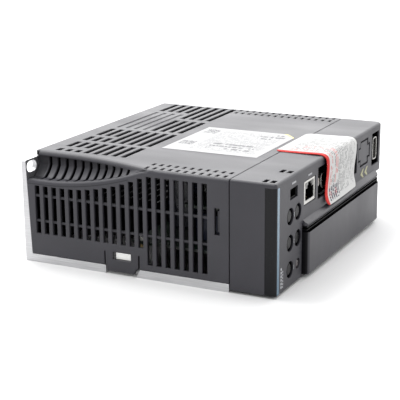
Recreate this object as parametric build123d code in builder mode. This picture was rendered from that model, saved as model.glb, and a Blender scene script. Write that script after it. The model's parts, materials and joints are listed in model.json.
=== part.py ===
from build123d import *
from math import cos, radians, sin
import os

os.makedirs("parts", exist_ok=True)

# A book-style AC servo drive, lying on its heat-sink side.
# +X runs from the rear mounting face to the front panel, +Y along the drive's long side
# (the near end is its top in use), +Z from the heat-sink base up to the label side.
# The origin is the centre of the rear mounting face. All sizes are in millimetres.

# ---- overall sizes ----
DEPTH = 156.0
HEIGHT = 172.0
WIDTH = 62.0
NEAR = -HEIGHT / 2
FAR = HEIGHT / 2
BASE = -WIDTH / 2
TOP = WIDTH / 2

# ---- walls, gaps and joints ----
WALL = 2.2
TOP_WALL = 2.5
SEAM_X = 129.2
SEAM_GAP = 0.6
FIT = 0.15
RUN_FIT = 0.05
EDGE_ROUND = 2.2

# ---- heat sink ----
BASE_PLATE = 4.6
BACK_PLATE_FOOT = 4.6
BACK_PLATE_TIP = 2.6
BACK_PLATE_TOP = BASE + 59.2
MOUNT_SLOT = (9.6, 6.4)
MOUNT_SLOT_Z = BASE + 54.9
MOUNT_SLOT_INSET = 5.9
PLATE_CORNER = 0.6
FIN_COUNT = 8
FIN_PITCH = 6.4
FIN_THICK = 1.6
FIN_TOP = BASE + 30.0
FIN_START = NEAR + 42.0
FIN_END = FAR - 26.0

# ---- scoop at the near top edge ----
SCOOP_DEPTH = 13.2
SCOOP_FLAT_X = 14.0
SCOOP_TIP_X = 81.2
SCOOP_BACK_X = 2.7
SCOOP_WALL = 2.0
SCOOP_CORNER = 1.13
LOUVRE_COUNT = 11
LOUVRE_FIRST_X = 11.1
LOUVRE_PITCH = 5.6
LOUVRE_SLOT = 2.0
RIM_ROUND = 1.9
LABEL_SIDE_RIM = 3.4
RIM_FACETS = 3

# ---- vent slots ----
END_SLOT_FIRST_X = 9.75
END_SLOT_PITCH = 5.54
END_SLOT_COUNT = 20
END_SLOT_WIDTH = 3.2
END_SLOT_Z = (17.4, 58.1)
END_SLOT_BARS = ((24.1, 25.5), (38.8, 40.3))
END_BAR_SINK = 0.9
LOW_SLOT_START = 13
LOW_SLOT_Z = 8.2
TOP_SLOT_FIRST_X = 11.8
TOP_SLOT_PITCH = 6.13
TOP_SLOT_WIDTH = 3.4

# ---- grids of small holes ----
GRID_PITCH = 4.66
GRID_LAST_X = 125.2
GRID_HOLE = (1.8, 4.2)
GRID_ROWS = (4.8, 12.5)

# ---- front module ----
FRONT_X0 = SEAM_X + SEAM_GAP
FRONT_Z0 = BASE + 1.6
KEY_COLUMN_Y = NEAR + 36.0
BAY_TOP = BASE + 32.0
BAY_X = 150.0
BAY_FAR = NEAR + 159.0
BAY_SIDE_WALL = 1.4
LEDGE_X = 158.6
LEDGE_ROUND = 2.0
FAR_ROUND = 4.0
NEAR_ROUND = 1.6

# ---- display strip and accent strip on the near front corner ----
STRIP_X = 149.6
STRIP_THICK = 1.5
STRIP_TOP = TOP - 2.5
ACCENT_THICK = 0.85
ACCENT_Y = (NEAR + 1.75, NEAR + 4.5)

# ---- keys ----
KEY_R = 3.6
KEY_WELL_R = 4.7
KEY_FLANGE_R = 4.3
KEY_WELL_DEPTH = 1.3
KEY_TRAVEL = 0.8
KEY_BACK_X = DEPTH - WALL - 1.4
KEY_CROWN_X = DEPTH - 0.6
KEY_PLACES = {
    "key_mode": (19.2, 40.2),
    "key_up": (30.0, 40.2),
    "key_shift": (19.2, 25.5),
    "key_down": (30.0, 25.5),
    "key_set": (19.2, 10.8),
}
LAMP_PLACE = (30.2, 11.0)
LAMP_R = 2.2

# ---- door over the power terminals ----
DOOR_X = 159.4
DOOR_BACK_X = 151.2
DOOR_NEAR = NEAR + 37.6
DOOR_FAR = NEAR + 158.0
DOOR_Z0 = BASE + 1.9
DOOR_Z1 = BASE + 29.4
DOOR_WALL = 1.7
DOOR_GRIP_Z = BASE + 26.6
GRIP_DEPTH = 1.1
HINGE_X = 156.5
HINGE_Z = BASE + 3.9
PIN_R = 0.8
KNUCKLE_R = 2.0
KNUCKLE_LENGTH = 5.0
EAR_R = 1.7
EAR_THICK = 3.0
EAR_PLACES = (NEAR + 42.0, NEAR + 150.0)

# ---- fan ----
FAN_X = 37.0
FAN_Z = BASE + 26.0
FAN_SIDE = 40.0
FAN_THICK = 15.0
FAN_Y1 = FAR - WALL - 0.2
FAN_BORE_R = 18.6
FAN_TIP_R = 17.8
FAN_HUB_R = 8.0
FAN_SHAFT_R = 1.0
FAN_BLADES = 7
FAN_HOLE_SPACING = 32.0

# ---- boards and screws ----
BOARD_THICK = 1.6
CONTROL_Z = BASE + 39.0
POWER_Z = BASE + 17.0
KEYPAD_X = 148.4
M3_R = 1.45
M4_R = 1.95
MODULE_TOP = BASE + BASE_PLATE + 7.3
MODULE_SCREWS = ((87.0, NEAR + 72.0), (117.0, NEAR + 72.0), (102.0, NEAR + 112.0))
EARTH_FACE = FAR - 3.0
EARTH_SCREWS = ((104.0, BASE + 11.0), (117.0, BASE + 11.0))
STANDOFFS = ((71.0, NEAR + 12.0), (124.0, NEAR + 12.0), (71.0, NEAR + 154.0), (124.0, NEAR + 154.0))


def end_plane(y):
    """Plane across the drive at y, with local x along X and local y along Z."""
    return Plane.XZ.offset(-y)


def panel_plane(x):
    """Plane parallel to the front panel at x, with local x along Y and local y along Z."""
    return Plane.YZ.offset(x)


def deck_plane(z):
    """Plane parallel to the label side at z."""
    return Plane.XY.offset(z)


def block(x0, x1, y0, y1, z0, z1, mode=Mode.ADD):
    """A box between two corners, added to or cut from the open part."""
    with Locations(((x0 + x1) / 2, (y0 + y1) / 2, (z0 + z1) / 2)):
        Box(x1 - x0, y1 - y0, z1 - z0, mode=mode)


def rectangles(spans):
    """Rectangles on the open sketch, each given as (u0, u1, v0, v1)."""
    for u0, u1, v0, v1 in spans:
        with Locations(((u0 + u1) / 2, (v0 + v1) / 2)):
            Rectangle(u1 - u0, v1 - v0)


def scoop_profile(plane, depth, tip):
    """The scoop's depth along x on a plane whose second axis runs away from the near top edge."""
    with BuildSketch(plane, mode=Mode.PRIVATE) as profile:
        with BuildLine():
            Polyline(
                (tip, 0), (tip, -1), (SCOOP_BACK_X, -1), (SCOOP_BACK_X, depth), (SCOOP_FLAT_X, depth),
            )
            Bezier((SCOOP_FLAT_X, depth), ((SCOOP_FLAT_X + tip) / 2, depth), (tip, 0))
        make_face()
    return profile.sketch


def scoop_solid(margin):
    """The hollow around the near top edge, grown by margin: straight walls joined by a round corner."""
    depth = SCOOP_DEPTH + margin
    tip = SCOOP_TIP_X + 3 * margin
    inward = Plane(origin=(0, NEAR, TOP), x_dir=(1, 0, 0), z_dir=(0, 0, 1))
    downward = Plane(origin=(0, NEAR, TOP), x_dir=(1, 0, 0), z_dir=(0, 1, 0))
    with BuildPart(mode=Mode.PRIVATE) as horn:
        with BuildSketch(end_plane(NEAR)):
            with BuildLine():
                Polyline(
                    (tip, TOP),
                    (SCOOP_BACK_X, TOP),
                    (SCOOP_BACK_X, TOP - depth * SCOOP_CORNER),
                    (SCOOP_FLAT_X, TOP - depth * SCOOP_CORNER),
                )
                Bezier(
                    (SCOOP_FLAT_X, TOP - depth * SCOOP_CORNER),
                    ((SCOOP_FLAT_X + tip) / 2, TOP - depth * SCOOP_CORNER),
                    (tip, TOP),
                )
            make_face()
        revolve(axis=Axis((0, NEAR, TOP), (1, 0, 0)))
        for plane in (inward, downward):
            extrude(scoop_profile(plane, depth, tip), amount=2 * depth, both=True, mode=Mode.INTERSECT)
    return horn.part


def rim_face(mouth_plane, extra):
    """The scoop's mouth on one face, grown by extra, in (x, distance from the edge)."""
    depth = SCOOP_DEPTH + extra
    tip = SCOOP_TIP_X + 2 * extra
    with BuildSketch(mouth_plane, mode=Mode.PRIVATE) as mouth:
        with BuildLine():
            Polyline((tip, 0), (tip, -1), (-1, -1), (-1, depth), (SCOOP_FLAT_X, depth))
            Bezier((SCOOP_FLAT_X, depth), ((SCOOP_FLAT_X + tip) / 2, depth), (tip, 0))
        make_face()
    return mouth.sketch


def rim_rounding(mouth_plane, reach):
    """Solid that rounds the scoop's rim on one face, as facets reaching that far out."""
    rings = []
    for step in range(RIM_FACETS + 1):
        angle = radians(90 * step / RIM_FACETS)
        inset = reach * (1 - sin(angle))
        sink = RIM_ROUND * (1 - cos(angle))
        rings.append(rim_face(mouth_plane.offset(-sink), inset))
    with BuildPart(mode=Mode.PRIVATE) as rounding:
        for upper, lower in zip(rings, rings[1:]):
            loft(sections=[upper, lower], ruled=True)
    return rounding.part


def end_slot_top(x):
    """Upper end of a near-end slot, which follows the scoop's lower rim."""
    lowest, rise_start_x, rise_length, rise_height = 45.5, 27.0, 49.7, 11.3
    rise = max(0.0, (x - rise_start_x) / rise_length)
    return min(END_SLOT_Z[1], lowest + rise_height * rise * rise)


def end_slot_columns():
    """Spans of the near end's vent slots at their full height, as (x0, x1, z0, z1)."""
    spans = []
    for i in range(END_SLOT_COUNT):
        x = END_SLOT_FIRST_X + i * END_SLOT_PITCH
        z0 = LOW_SLOT_Z if i >= LOW_SLOT_START else END_SLOT_Z[0]
        spans.append((x - END_SLOT_WIDTH / 2, x + END_SLOT_WIDTH / 2, BASE + z0, BASE + end_slot_top(x)))
    return spans


def end_slots():
    """Spans of the near end's vent slots between their cross bars."""
    (low_bar_0, low_bar_1), (high_bar_0, high_bar_1) = END_SLOT_BARS
    spans = []
    for x0, x1, z0, z1 in end_slot_columns():
        spans.append((x0, x1, z0, BASE + low_bar_0))
        spans.append((x0, x1, BASE + low_bar_1, BASE + high_bar_0))
        spans.append((x0, x1, BASE + high_bar_1, z1))
    return spans


def top_slots():
    """Spans of the long vent slots in the label side, as (x0, x1, y0, y1)."""
    outer_rows = ((19.6, 24.9), (30.6, 43.6), (48.5, 59.1), (63.9, 83.1), (144.7, 168.0))
    inner_rows = ((19.6, 43.6), (48.5, 83.1), (87.9, 121.6), (127.4, 168.0))
    shared_rows = ((19.6, 43.6), (48.5, 83.1), (144.7, 168.0))
    spans = []
    for j in range(8):
        x = TOP_SLOT_FIRST_X + j * TOP_SLOT_PITCH
        rows = outer_rows if j < 3 else shared_rows if j == 3 else inner_rows
        for y0, y1 in rows:
            spans.append((x - TOP_SLOT_WIDTH / 2, x + TOP_SLOT_WIDTH / 2, NEAR + y0, NEAR + y1))
    return spans


def grid_holes():
    """Spans of the small holes in the label side near both ends."""
    spans = []
    for columns, sign, edge in ((11, 1, NEAR), (15, -1, FAR)):
        for k in range(columns):
            x = GRID_LAST_X - k * GRID_PITCH
            for row in GRID_ROWS:
                y = edge + sign * row
                half_x, half_y = GRID_HOLE[0] / 2, GRID_HOLE[1] / 2
                spans.append((x - half_x, x + half_x, y - half_y, y + half_y))
    return spans


# ---------------------------------------------------------------- heat sink
with BuildPart() as heat_sink:
    with BuildSketch(end_plane(FAR)):
        with BuildLine():
            Polyline(
                (0, BASE),
                (SEAM_X, BASE),
                (SEAM_X, BASE + BASE_PLATE),
                (BACK_PLATE_FOOT, BASE + BASE_PLATE),
                (BACK_PLATE_TIP, BACK_PLATE_TOP),
                (0, BACK_PLATE_TOP),
                close=True,
            )
        make_face()
    extrude(amount=HEIGHT)
    for i in range(FIN_COUNT):
        fin_x = 16.0 + i * FIN_PITCH
        block(fin_x, fin_x + FIN_THICK, FIN_START, FIN_END, BASE + BASE_PLATE - 0.5, FIN_TOP)
    # upstand for the earth screws at the far end
    block(98.0, 124.0, EARTH_FACE - 6.5, EARTH_FACE, BASE + BASE_PLATE - 0.5, BASE + 17.0)
    # notch that the casing's latch tab hooks into
    with BuildSketch(end_plane(NEAR - 1)):
        with BuildLine():
            Polyline(
                (53.6, BASE - 1),
                (53.6, BASE + BASE_PLATE + 1),
                (75.4, BASE + BASE_PLATE + 1),
                (75.4, BASE + BASE_PLATE),
                (72.2, BASE - 1),
                close=True,
            )
        make_face()
    extrude(amount=-5, mode=Mode.SUBTRACT)
    # slotted mounting holes through the back plate
    with BuildSketch(panel_plane(-1)):
        with Locations(
            (NEAR + MOUNT_SLOT_INSET, MOUNT_SLOT_Z),
            (FAR - MOUNT_SLOT_INSET, MOUNT_SLOT_Z),
        ):
            SlotOverall(*MOUNT_SLOT)
    extrude(amount=BACK_PLATE_FOOT + 2, mode=Mode.SUBTRACT)
    # tapped holes for the power module, the rectifier and the earth screws
    with BuildSketch(deck_plane(BASE + BASE_PLATE)):
        with Locations(*MODULE_SCREWS):
            Circle(M3_R + RUN_FIT)
    extrude(amount=-3.6, mode=Mode.SUBTRACT)
    with BuildSketch(end_plane(EARTH_FACE)):
        with Locations(*EARTH_SCREWS):
            Circle(M4_R + RUN_FIT)
    extrude(amount=5.5, mode=Mode.SUBTRACT)
    corner_edges = heat_sink.edges().filter_by(Axis.X).group_by(Axis.Z)[-1]
    chamfer(corner_edges, PLATE_CORNER)

# ---------------------------------------------------------------- rear casing
CASE_FOOT = BASE + BASE_PLATE + FIT
CASE_REAR = BACK_PLATE_FOOT + FIT
REAR_WALL = 1.5

with BuildPart() as rear_casing:
    with BuildSketch(end_plane(FAR)):
        with BuildLine():
            Polyline(
                (CASE_REAR, CASE_FOOT),
                (SEAM_X, CASE_FOOT),
                (SEAM_X, TOP),
                (0.4, TOP),
                (0.4, BACK_PLATE_TOP + FIT),
                (BACK_PLATE_TIP + FIT, BACK_PLATE_TOP + FIT),
                close=True,
            )
        make_face()
    extrude(amount=HEIGHT)
    fillet(rear_casing.edges().filter_by(Axis.X).group_by(Axis.Z)[-1], EDGE_ROUND)
    # hollow, open towards the base plate and the front module
    block(
        CASE_REAR + REAR_WALL, SEAM_X + 1, NEAR + WALL, FAR - WALL,
        BASE, TOP - TOP_WALL, mode=Mode.SUBTRACT,
    )
    # the scoop: a curved wall behind it, then the hollow itself
    with BuildPart(mode=Mode.PRIVATE) as scoop_shell:
        add(scoop_solid(SCOOP_WALL))
        block(
            SCOOP_BACK_X + 0.6, SCOOP_TIP_X + 8, NEAR + 0.5, NEAR + 30,
            TOP - 30, TOP - 0.5, mode=Mode.INTERSECT,
        )
    add(scoop_shell.part)
    add(scoop_solid(0), mode=Mode.SUBTRACT)
    # rounded rims where the scoop meets the label side and the near end
    mouth_plane = Plane(origin=(0, NEAR, TOP), x_dir=(1, 0, 0), z_dir=(0, 0, 1))
    add(rim_rounding(mouth_plane, LABEL_SIDE_RIM), mode=Mode.SUBTRACT)
    # the near end's rounding is made on the label side and mirrored in the diagonal through the edge
    diagonal = Plane(origin=(0, NEAR, TOP), x_dir=(1, 0, 0), z_dir=(0, 1, 1))
    near_mouth = mirror(rim_rounding(mouth_plane, RIM_ROUND), about=diagonal, mode=Mode.PRIVATE)
    add(near_mouth, mode=Mode.SUBTRACT)
    # the casing leaves the plate's top corner free behind the scoop
    block(
        -1, SCOOP_BACK_X + 0.1, NEAR - 1, NEAR + SCOOP_DEPTH + RIM_ROUND,
        BACK_PLATE_TOP - 0.6, TOP + 1, mode=Mode.SUBTRACT,
    )
    # louvre slots through the scoop's wall
    for i in range(LOUVRE_COUNT):
        slot_x = LOUVRE_FIRST_X + i * LOUVRE_PITCH
        block(
            slot_x - LOUVRE_SLOT / 2, slot_x + LOUVRE_SLOT / 2,
            NEAR + WALL, NEAR + 19, TOP - 19, TOP - TOP_WALL, mode=Mode.SUBTRACT,
        )
    # vent slots, latch slits, latch window and clip slot in the near end
    with BuildSketch(end_plane(NEAR - 1)):
        rectangles(end_slots())
        rectangles((
            (52.7, 53.6, CASE_FOOT - 1, BASE + 12.8),
            (74.2, 75.2, CASE_FOOT - 1, BASE + 12.8),
            (57.9, 69.7, BASE + 8.5, BASE + 12.9),
            (120.8, 123.9, BASE + 30.9, BASE + 45.6),
        ))
    extrude(amount=-(WALL + 1.5), mode=Mode.SUBTRACT)
    # the cross bars stand back from the face
    with BuildSketch(end_plane(NEAR)):
        rectangles(end_slot_columns())
    extrude(amount=-END_BAR_SINK, mode=Mode.SUBTRACT)
    # latch tab that hooks over the notch in the base plate
    with BuildSketch(end_plane(NEAR + WALL)):
        with BuildLine():
            Polyline(
                (54.4, FRONT_Z0),
                (54.4, BASE + 7.0),
                (74.0, BASE + 7.0),
                (71.4, FRONT_Z0),
                close=True,
            )
        make_face()
    extrude(amount=WALL)
    # vent slots, hole grids and blind grooves in the label side
    with BuildSketch(deck_plane(TOP + 1)):
        rectangles(top_slots())
        rectangles(grid_holes())
    extrude(amount=-(TOP_WALL + 2), mode=Mode.SUBTRACT)
    with BuildSketch(deck_plane(TOP)):
        for j in range(4):
            groove_x = TOP_SLOT_FIRST_X + j * TOP_SLOT_PITCH
            rectangles(((groove_x - 1.2, groove_x + 1.2, NEAR + 88.0, NEAR + 139.5),))
    extrude(amount=-0.4, mode=Mode.SUBTRACT)
    # far end: fan opening behind the guard, vent slots and the earth cutout
    with BuildSketch(end_plane(FAR + 1)):
        with Locations((FAN_X, FAN_Z)):
            Circle(FAN_BORE_R)
        far_slots = [s for s in end_slots() if s[0] > FAN_X + FAN_SIDE / 2 + 4 and s[2] > BASE + 20]
        rectangles(far_slots)
        rectangles(((97.4, 124.6, BASE, BASE + 17.6),))
        with Locations((FAN_X, FAN_Z)):
            with GridLocations(FAN_HOLE_SPACING, FAN_HOLE_SPACING, 2, 2):
                Circle(M3_R + FIT)
    extrude(amount=WALL + 2, mode=Mode.SUBTRACT)
    with BuildSketch(end_plane(FAR)):
        with Locations((FAN_X, FAN_Z)):
            with GridLocations(FAN_HOLE_SPACING, FAN_HOLE_SPACING, 2, 2):
                Circle(3.1)
    extrude(amount=1.3, mode=Mode.SUBTRACT)
    # relief that frees the far mounting hole for its screw
    block(2, 24, FAR - 12.5, FAR + 1, BASE + 47.5, BACK_PLATE_TOP + FIT, mode=Mode.SUBTRACT)

# ---------------------------------------------------------------- front casing
with BuildPart() as front_casing:
    with BuildSketch(deck_plane(FRONT_Z0)):
        rectangles(((FRONT_X0, DEPTH, NEAR, FAR),))
    extrude(amount=TOP - FRONT_Z0)
    upright = front_casing.edges().filter_by(Axis.Z).group_by(Axis.X)[-1].sort_by(Axis.Y)
    fillet(upright[0], NEAR_ROUND)
    upright = front_casing.edges().filter_by(Axis.Z).group_by(Axis.X)[-1].sort_by(Axis.Y)
    fillet(upright[-1], FAR_ROUND)
    fillet(front_casing.faces().sort_by(Axis.Z)[-1].edges().group_by(Axis.X)[1:], 1.6)
    # terminal bay: the module steps back below the connector row
    block(BAY_X, DEPTH + 1, KEY_COLUMN_Y, FAR + 1, BASE, BAY_TOP, mode=Mode.SUBTRACT)
    # hollow behind the key column, the connector row and the terminal bay
    block(
        FRONT_X0 - 1, DEPTH - WALL, NEAR + WALL, KEY_COLUMN_Y - BAY_SIDE_WALL,
        FRONT_Z0 + WALL, TOP - WALL, mode=Mode.SUBTRACT,
    )
    block(
        FRONT_X0 - 1, DEPTH - WALL, KEY_COLUMN_Y - BAY_SIDE_WALL - 1, FAR - WALL,
        BAY_TOP + WALL, TOP - WALL, mode=Mode.SUBTRACT,
    )
    block(
        FRONT_X0 - 1, BAY_X - WALL, KEY_COLUMN_Y - BAY_SIDE_WALL - 1, FAR - WALL,
        FRONT_Z0 + WALL, BAY_TOP + WALL + 1, mode=Mode.SUBTRACT,
    )
    # sloping ledge above the door, with rounded ends
    with BuildPart(mode=Mode.PRIVATE) as ledge:
        with BuildSketch(end_plane(BAY_FAR)):
            with BuildLine():
                Polyline(
                    (BAY_X - 1, BASE + 30.2),
                    (LEDGE_X, BASE + 30.2),
                    (LEDGE_X, BASE + 31.2),
                    (DEPTH - 0.2, BASE + 33.6),
                    (BAY_X - 1, BASE + 33.6),
                    close=True,
                )
            make_face()
        extrude(amount=BAY_FAR - KEY_COLUMN_Y - 1.2)
        fillet(ledge.edges().filter_by(Axis.Z).group_by(Axis.X)[-1], LEDGE_ROUND)
    add(ledge.part)
    # ears for the door's hinge pins
    for ear_y in EAR_PLACES:
        block(BAY_X - 0.5, HINGE_X, ear_y, ear_y + EAR_THICK, HINGE_Z - EAR_R, HINGE_Z + EAR_R)
        with Locations(Location((HINGE_X, ear_y + EAR_THICK / 2, HINGE_Z), (90, 0, 0))):
            Cylinder(EAR_R, EAR_THICK)
            Cylinder(PIN_R + 0.01, EAR_THICK + 1, mode=Mode.SUBTRACT)
    # rebates for the display strip and the accent strip
    block(
        STRIP_X, DEPTH + 1, NEAR - 1, NEAR + STRIP_THICK + FIT,
        BASE, STRIP_TOP + 0.1, mode=Mode.SUBTRACT,
    )
    block(
        DEPTH - ACCENT_THICK - RUN_FIT, DEPTH + 1, NEAR - 1, ACCENT_Y[1] + RUN_FIT,
        BASE, STRIP_TOP + 0.1, mode=Mode.SUBTRACT,
    )
    # key wells and lamp well
    with BuildSketch(panel_plane(DEPTH)):
        for key_y, key_z in KEY_PLACES.values():
            with Locations((NEAR + key_y, BASE + key_z)):
                Circle(KEY_WELL_R)
    extrude(amount=-KEY_WELL_DEPTH, mode=Mode.SUBTRACT)
    with BuildSketch(panel_plane(DEPTH)):
        with Locations((NEAR + LAMP_PLACE[0], BASE + LAMP_PLACE[1])):
            Circle(LAMP_R + 0.8)
    extrude(amount=-0.8, mode=Mode.SUBTRACT)
    with BuildSketch(panel_plane(DEPTH + 1)):
        for key_y, key_z in KEY_PLACES.values():
            with Locations((NEAR + key_y, BASE + key_z)):
                Circle(KEY_R + FIT)
        with Locations((NEAR + LAMP_PLACE[0], BASE + LAMP_PLACE[1])):
            Circle(LAMP_R + FIT)
        # openings: service port, network jack, signal connector, encoder connector
        rectangles((
            (NEAR + 18.6, NEAR + 29.0, BASE + 49.0, BASE + 55.1),
            (NEAR + 38.3, NEAR + 55.5, BASE + 40.8, BASE + 54.4),
            (NEAR + 59.0, NEAR + 124.4, BASE + 39.4, BASE + 57.4),
            (NEAR + 152.0, NEAR + 165.4, BASE + 37.4, BASE + 57.8),
        ))
        # cross-shaped opening of the unused option port
        rectangles((
            (NEAR + 126.7, NEAR + 148.1, BASE + 44.7, BASE + 53.9),
            (NEAR + 130.2, NEAR + 144.6, BASE + 41.2, BASE + 57.4),
        ))
    extrude(amount=-(WALL + 2), mode=Mode.SUBTRACT)
    # openings for the three terminal plugs
    with BuildSketch(panel_plane(BAY_X + 1)):
        rectangles((
            (NEAR + 49.0, NEAR + 80.4, BASE + 8.4, BASE + 26.6),
            (NEAR + 84.0, NEAR + 110.4, BASE + 8.4, BASE + 26.6),
            (NEAR + 114.0, NEAR + 145.4, BASE + 8.4, BASE + 26.6),
        ))
    extrude(amount=-(WALL + 2), mode=Mode.SUBTRACT)
    # small moulding holes in the label side
    with BuildSketch(deck_plane(TOP + 1)):
        rectangles((
            (146.6, 149.1, NEAR + 2.6, NEAR + 8.2),
            (150.8, 153.6, NEAR + 2.8, NEAR + 7.7),
            (146.6, 149.1, NEAR + 24.8, NEAR + 30.9),
            (150.8, 153.6, NEAR + 25.2, NEAR + 29.9),
        ))
    extrude(amount=-(WALL + 2), mode=Mode.SUBTRACT)
    # slot in the wall behind the display strip
    block(150.8, 153.2, NEAR + 1, NEAR + WALL + 1, BASE + 12, BASE + 50, mode=Mode.SUBTRACT)
    # snap arm whose hook shows in the rear casing's clip slot
    block(121.6, FRONT_X0 + 5, NEAR + WALL + 0.2, NEAR + WALL + 1.8, BASE + 32.5, BASE + 44.0)
    block(FRONT_X0 + 1, FRONT_X0 + 5, NEAR + WALL - 0.5, NEAR + WALL + 0.4, BASE + 32.5, BASE + 44.0)
    block(122.4, 123.6, NEAR + 0.9, NEAR + WALL + 0.4, BASE + 32.5, BASE + 44.0)

# ---------------------------------------------------------------- display strip
with BuildPart() as display_strip:
    with BuildSketch(deck_plane(FRONT_Z0)):
        rectangles(((STRIP_X + 0.1, DEPTH, NEAR, NEAR + STRIP_THICK),))
    extrude(amount=STRIP_TOP - FRONT_Z0)
    strip_edge = display_strip.edges().filter_by(Axis.Z).group_by(Axis.X)[-1].sort_by(Axis.Y)[0]
    fillet(strip_edge, STRIP_THICK - 0.1)

with BuildPart() as accent_strip:
    block(DEPTH - ACCENT_THICK, DEPTH, ACCENT_Y[0], ACCENT_Y[1], FRONT_Z0, STRIP_TOP)

# ---------------------------------------------------------------- keys and lamp
keys = {}
for key_name, (key_y, key_z) in KEY_PLACES.items():
    with BuildPart() as key:
        with BuildSketch(panel_plane(KEY_BACK_X)):
            with Locations((NEAR + key_y, BASE + key_z)):
                Circle(KEY_R)
        extrude(amount=KEY_CROWN_X - KEY_BACK_X)
        fillet(key.faces().sort_by(Axis.X)[-1].edges(), 1.2)
        with BuildSketch(panel_plane(KEY_BACK_X)):
            with Locations((NEAR + key_y, BASE + key_z)):
                Circle(KEY_FLANGE_R)
        extrude(amount=0.9)
    keys[key_name] = key

with BuildPart() as charge_lamp:
    with BuildSketch(panel_plane(DEPTH - WALL - 0.8)):
        with Locations((NEAR + LAMP_PLACE[0], BASE + LAMP_PLACE[1])):
            Circle(LAMP_R)
    extrude(amount=WALL + 0.6)
    fillet(charge_lamp.faces().sort_by(Axis.X)[-1].edges(), 1.0)

# ---------------------------------------------------------------- service port
with BuildPart() as service_port:
    block(146.0, DEPTH - 0.9, NEAR + 18.9, NEAR + 28.7, BASE + 49.3, BASE + 54.8)
    block(147.0, DEPTH, NEAR + 19.5, NEAR + 28.1, BASE + 49.9, BASE + 54.2, mode=Mode.SUBTRACT)
    block(146.5, DEPTH - 2.2, NEAR + 20.8, NEAR + 26.8, BASE + 51.4, BASE + 52.5)

# ---------------------------------------------------------------- network jack
JACK_Y0, JACK_Y1 = NEAR + 38.9, NEAR + 54.9
JACK_Z0, JACK_Z1 = BASE + 41.2, BASE + 54.0
JACK_BACK = 138.0

with BuildPart() as network_jack_shield:
    block(JACK_BACK, DEPTH - 0.3, JACK_Y0, JACK_Y1, JACK_Z0, JACK_Z1)
    block(
        JACK_BACK + 0.4, DEPTH, JACK_Y0 + 0.4, JACK_Y1 - 0.4,
        JACK_Z0 + 0.4, JACK_Z1 - 0.4, mode=Mode.SUBTRACT,
    )
    # front flange that frames the stepped plug opening
    with BuildSketch(panel_plane(DEPTH - 0.3)):
        rectangles(((JACK_Y0, JACK_Y1, JACK_Z0, JACK_Z1),))
    extrude(amount=-0.5)
    with BuildSketch(panel_plane(DEPTH)):
        rectangles((
            (JACK_Y0 + 2.1, JACK_Y0 + 13.9, JACK_Z0 + 1.7, JACK_Z0 + 8.4),
            (JACK_Y0 + 4.9, JACK_Y0 + 11.1, JACK_Z0 + 8.0, JACK_Z0 + 10.0),
            (JACK_Y0 + 6.0, JACK_Y0 + 10.0, JACK_Z0 + 9.8, JACK_Z0 + 11.6),
        ))
    extrude(amount=-1.5, mode=Mode.SUBTRACT)

with BuildPart() as network_jack_insert:
    block(JACK_BACK + 0.5, DEPTH - 0.9, JACK_Y0 + 0.5, JACK_Y1 - 0.5, JACK_Z0 + 0.5, JACK_Z1 - 0.5)
    with BuildSketch(panel_plane(DEPTH)):
        rectangles((
            (JACK_Y0 + 2.1, JACK_Y0 + 13.9, JACK_Z0 + 1.7, JACK_Z0 + 8.4),
            (JACK_Y0 + 4.9, JACK_Y0 + 11.1, JACK_Z0 + 8.0, JACK_Z0 + 10.0),
            (JACK_Y0 + 6.0, JACK_Y0 + 10.0, JACK_Z0 + 9.8, JACK_Z0 + 11.6),
        ))
    extrude(amount=-13.5, mode=Mode.SUBTRACT)

with BuildPart() as network_jack_contacts:
    for i in range(8):
        contact_y = JACK_Y0 + 4.44 + i * 1.02
        with BuildSketch(end_plane(contact_y + 0.2)):
            with BuildLine():
                Polyline(
                    (DEPTH - 3.4, JACK_Z0 + 1.75),
                    (DEPTH - 3.0, JACK_Z0 + 1.75),
                    (DEPTH - 11.0, JACK_Z0 + 5.2),
                    (DEPTH - 11.4, JACK_Z0 + 5.0),
                    close=True,
                )
            make_face()
        extrude(amount=0.4)

# ---------------------------------------------------------------- signal connector
SIGNAL_Y0, SIGNAL_Y1 = NEAR + 66.0, NEAR + 118.0
SIGNAL_Z = BASE + 48.4

with BuildPart() as signal_connector_body:
    block(138.0, DEPTH - 3.2, NEAR + 59.6, NEAR + 123.8, BASE + 40.2, BASE + 56.6)
    block(
        DEPTH - 9, DEPTH, SIGNAL_Y0 - 1.2, SIGNAL_Y1 + 1.2, SIGNAL_Z - 4.6, SIGNAL_Z + 4.6,
        mode=Mode.SUBTRACT,
    )
    block(140.0, DEPTH - 3.4, SIGNAL_Y0 + 1.6, SIGNAL_Y1 - 1.6, SIGNAL_Z - 1.1, SIGNAL_Z + 1.1)

with BuildPart() as signal_connector_shell:
    with BuildSketch(panel_plane(DEPTH - 8.8)):
        rectangles(((SIGNAL_Y0 - 0.8, SIGNAL_Y1 + 0.8, SIGNAL_Z - 4.2, SIGNAL_Z + 4.2),))
    extrude(amount=8.2)
    fillet(signal_connector_shell.edges().filter_by(Axis.X), 2.4)
    offset(
        amount=-0.5,
        openings=signal_connector_shell.faces().filter_by(Axis.X),
    )

with BuildPart() as signal_connector_latches:
    for latch_y in (NEAR + 61.6, NEAR + 119.4):
        block(DEPTH - 3.1, DEPTH - 1.2, latch_y, latch_y + 2.2, SIGNAL_Z - 2.2, SIGNAL_Z + 2.2)

# ---------------------------------------------------------------- option port blank
with BuildPart() as option_port_blank:
    with BuildSketch(panel_plane(DEPTH - WALL + 0.2)):
        rectangles((
            (NEAR + 127.2, NEAR + 147.6, BASE + 45.2, BASE + 53.4),
            (NEAR + 130.7, NEAR + 144.1, BASE + 41.7, BASE + 56.9),
        ))
    extrude(amount=WALL - 0.4)

# ---------------------------------------------------------------- encoder connector
ENCODER_Y, ENCODER_Z = NEAR + 158.8, BASE + 47.6

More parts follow.
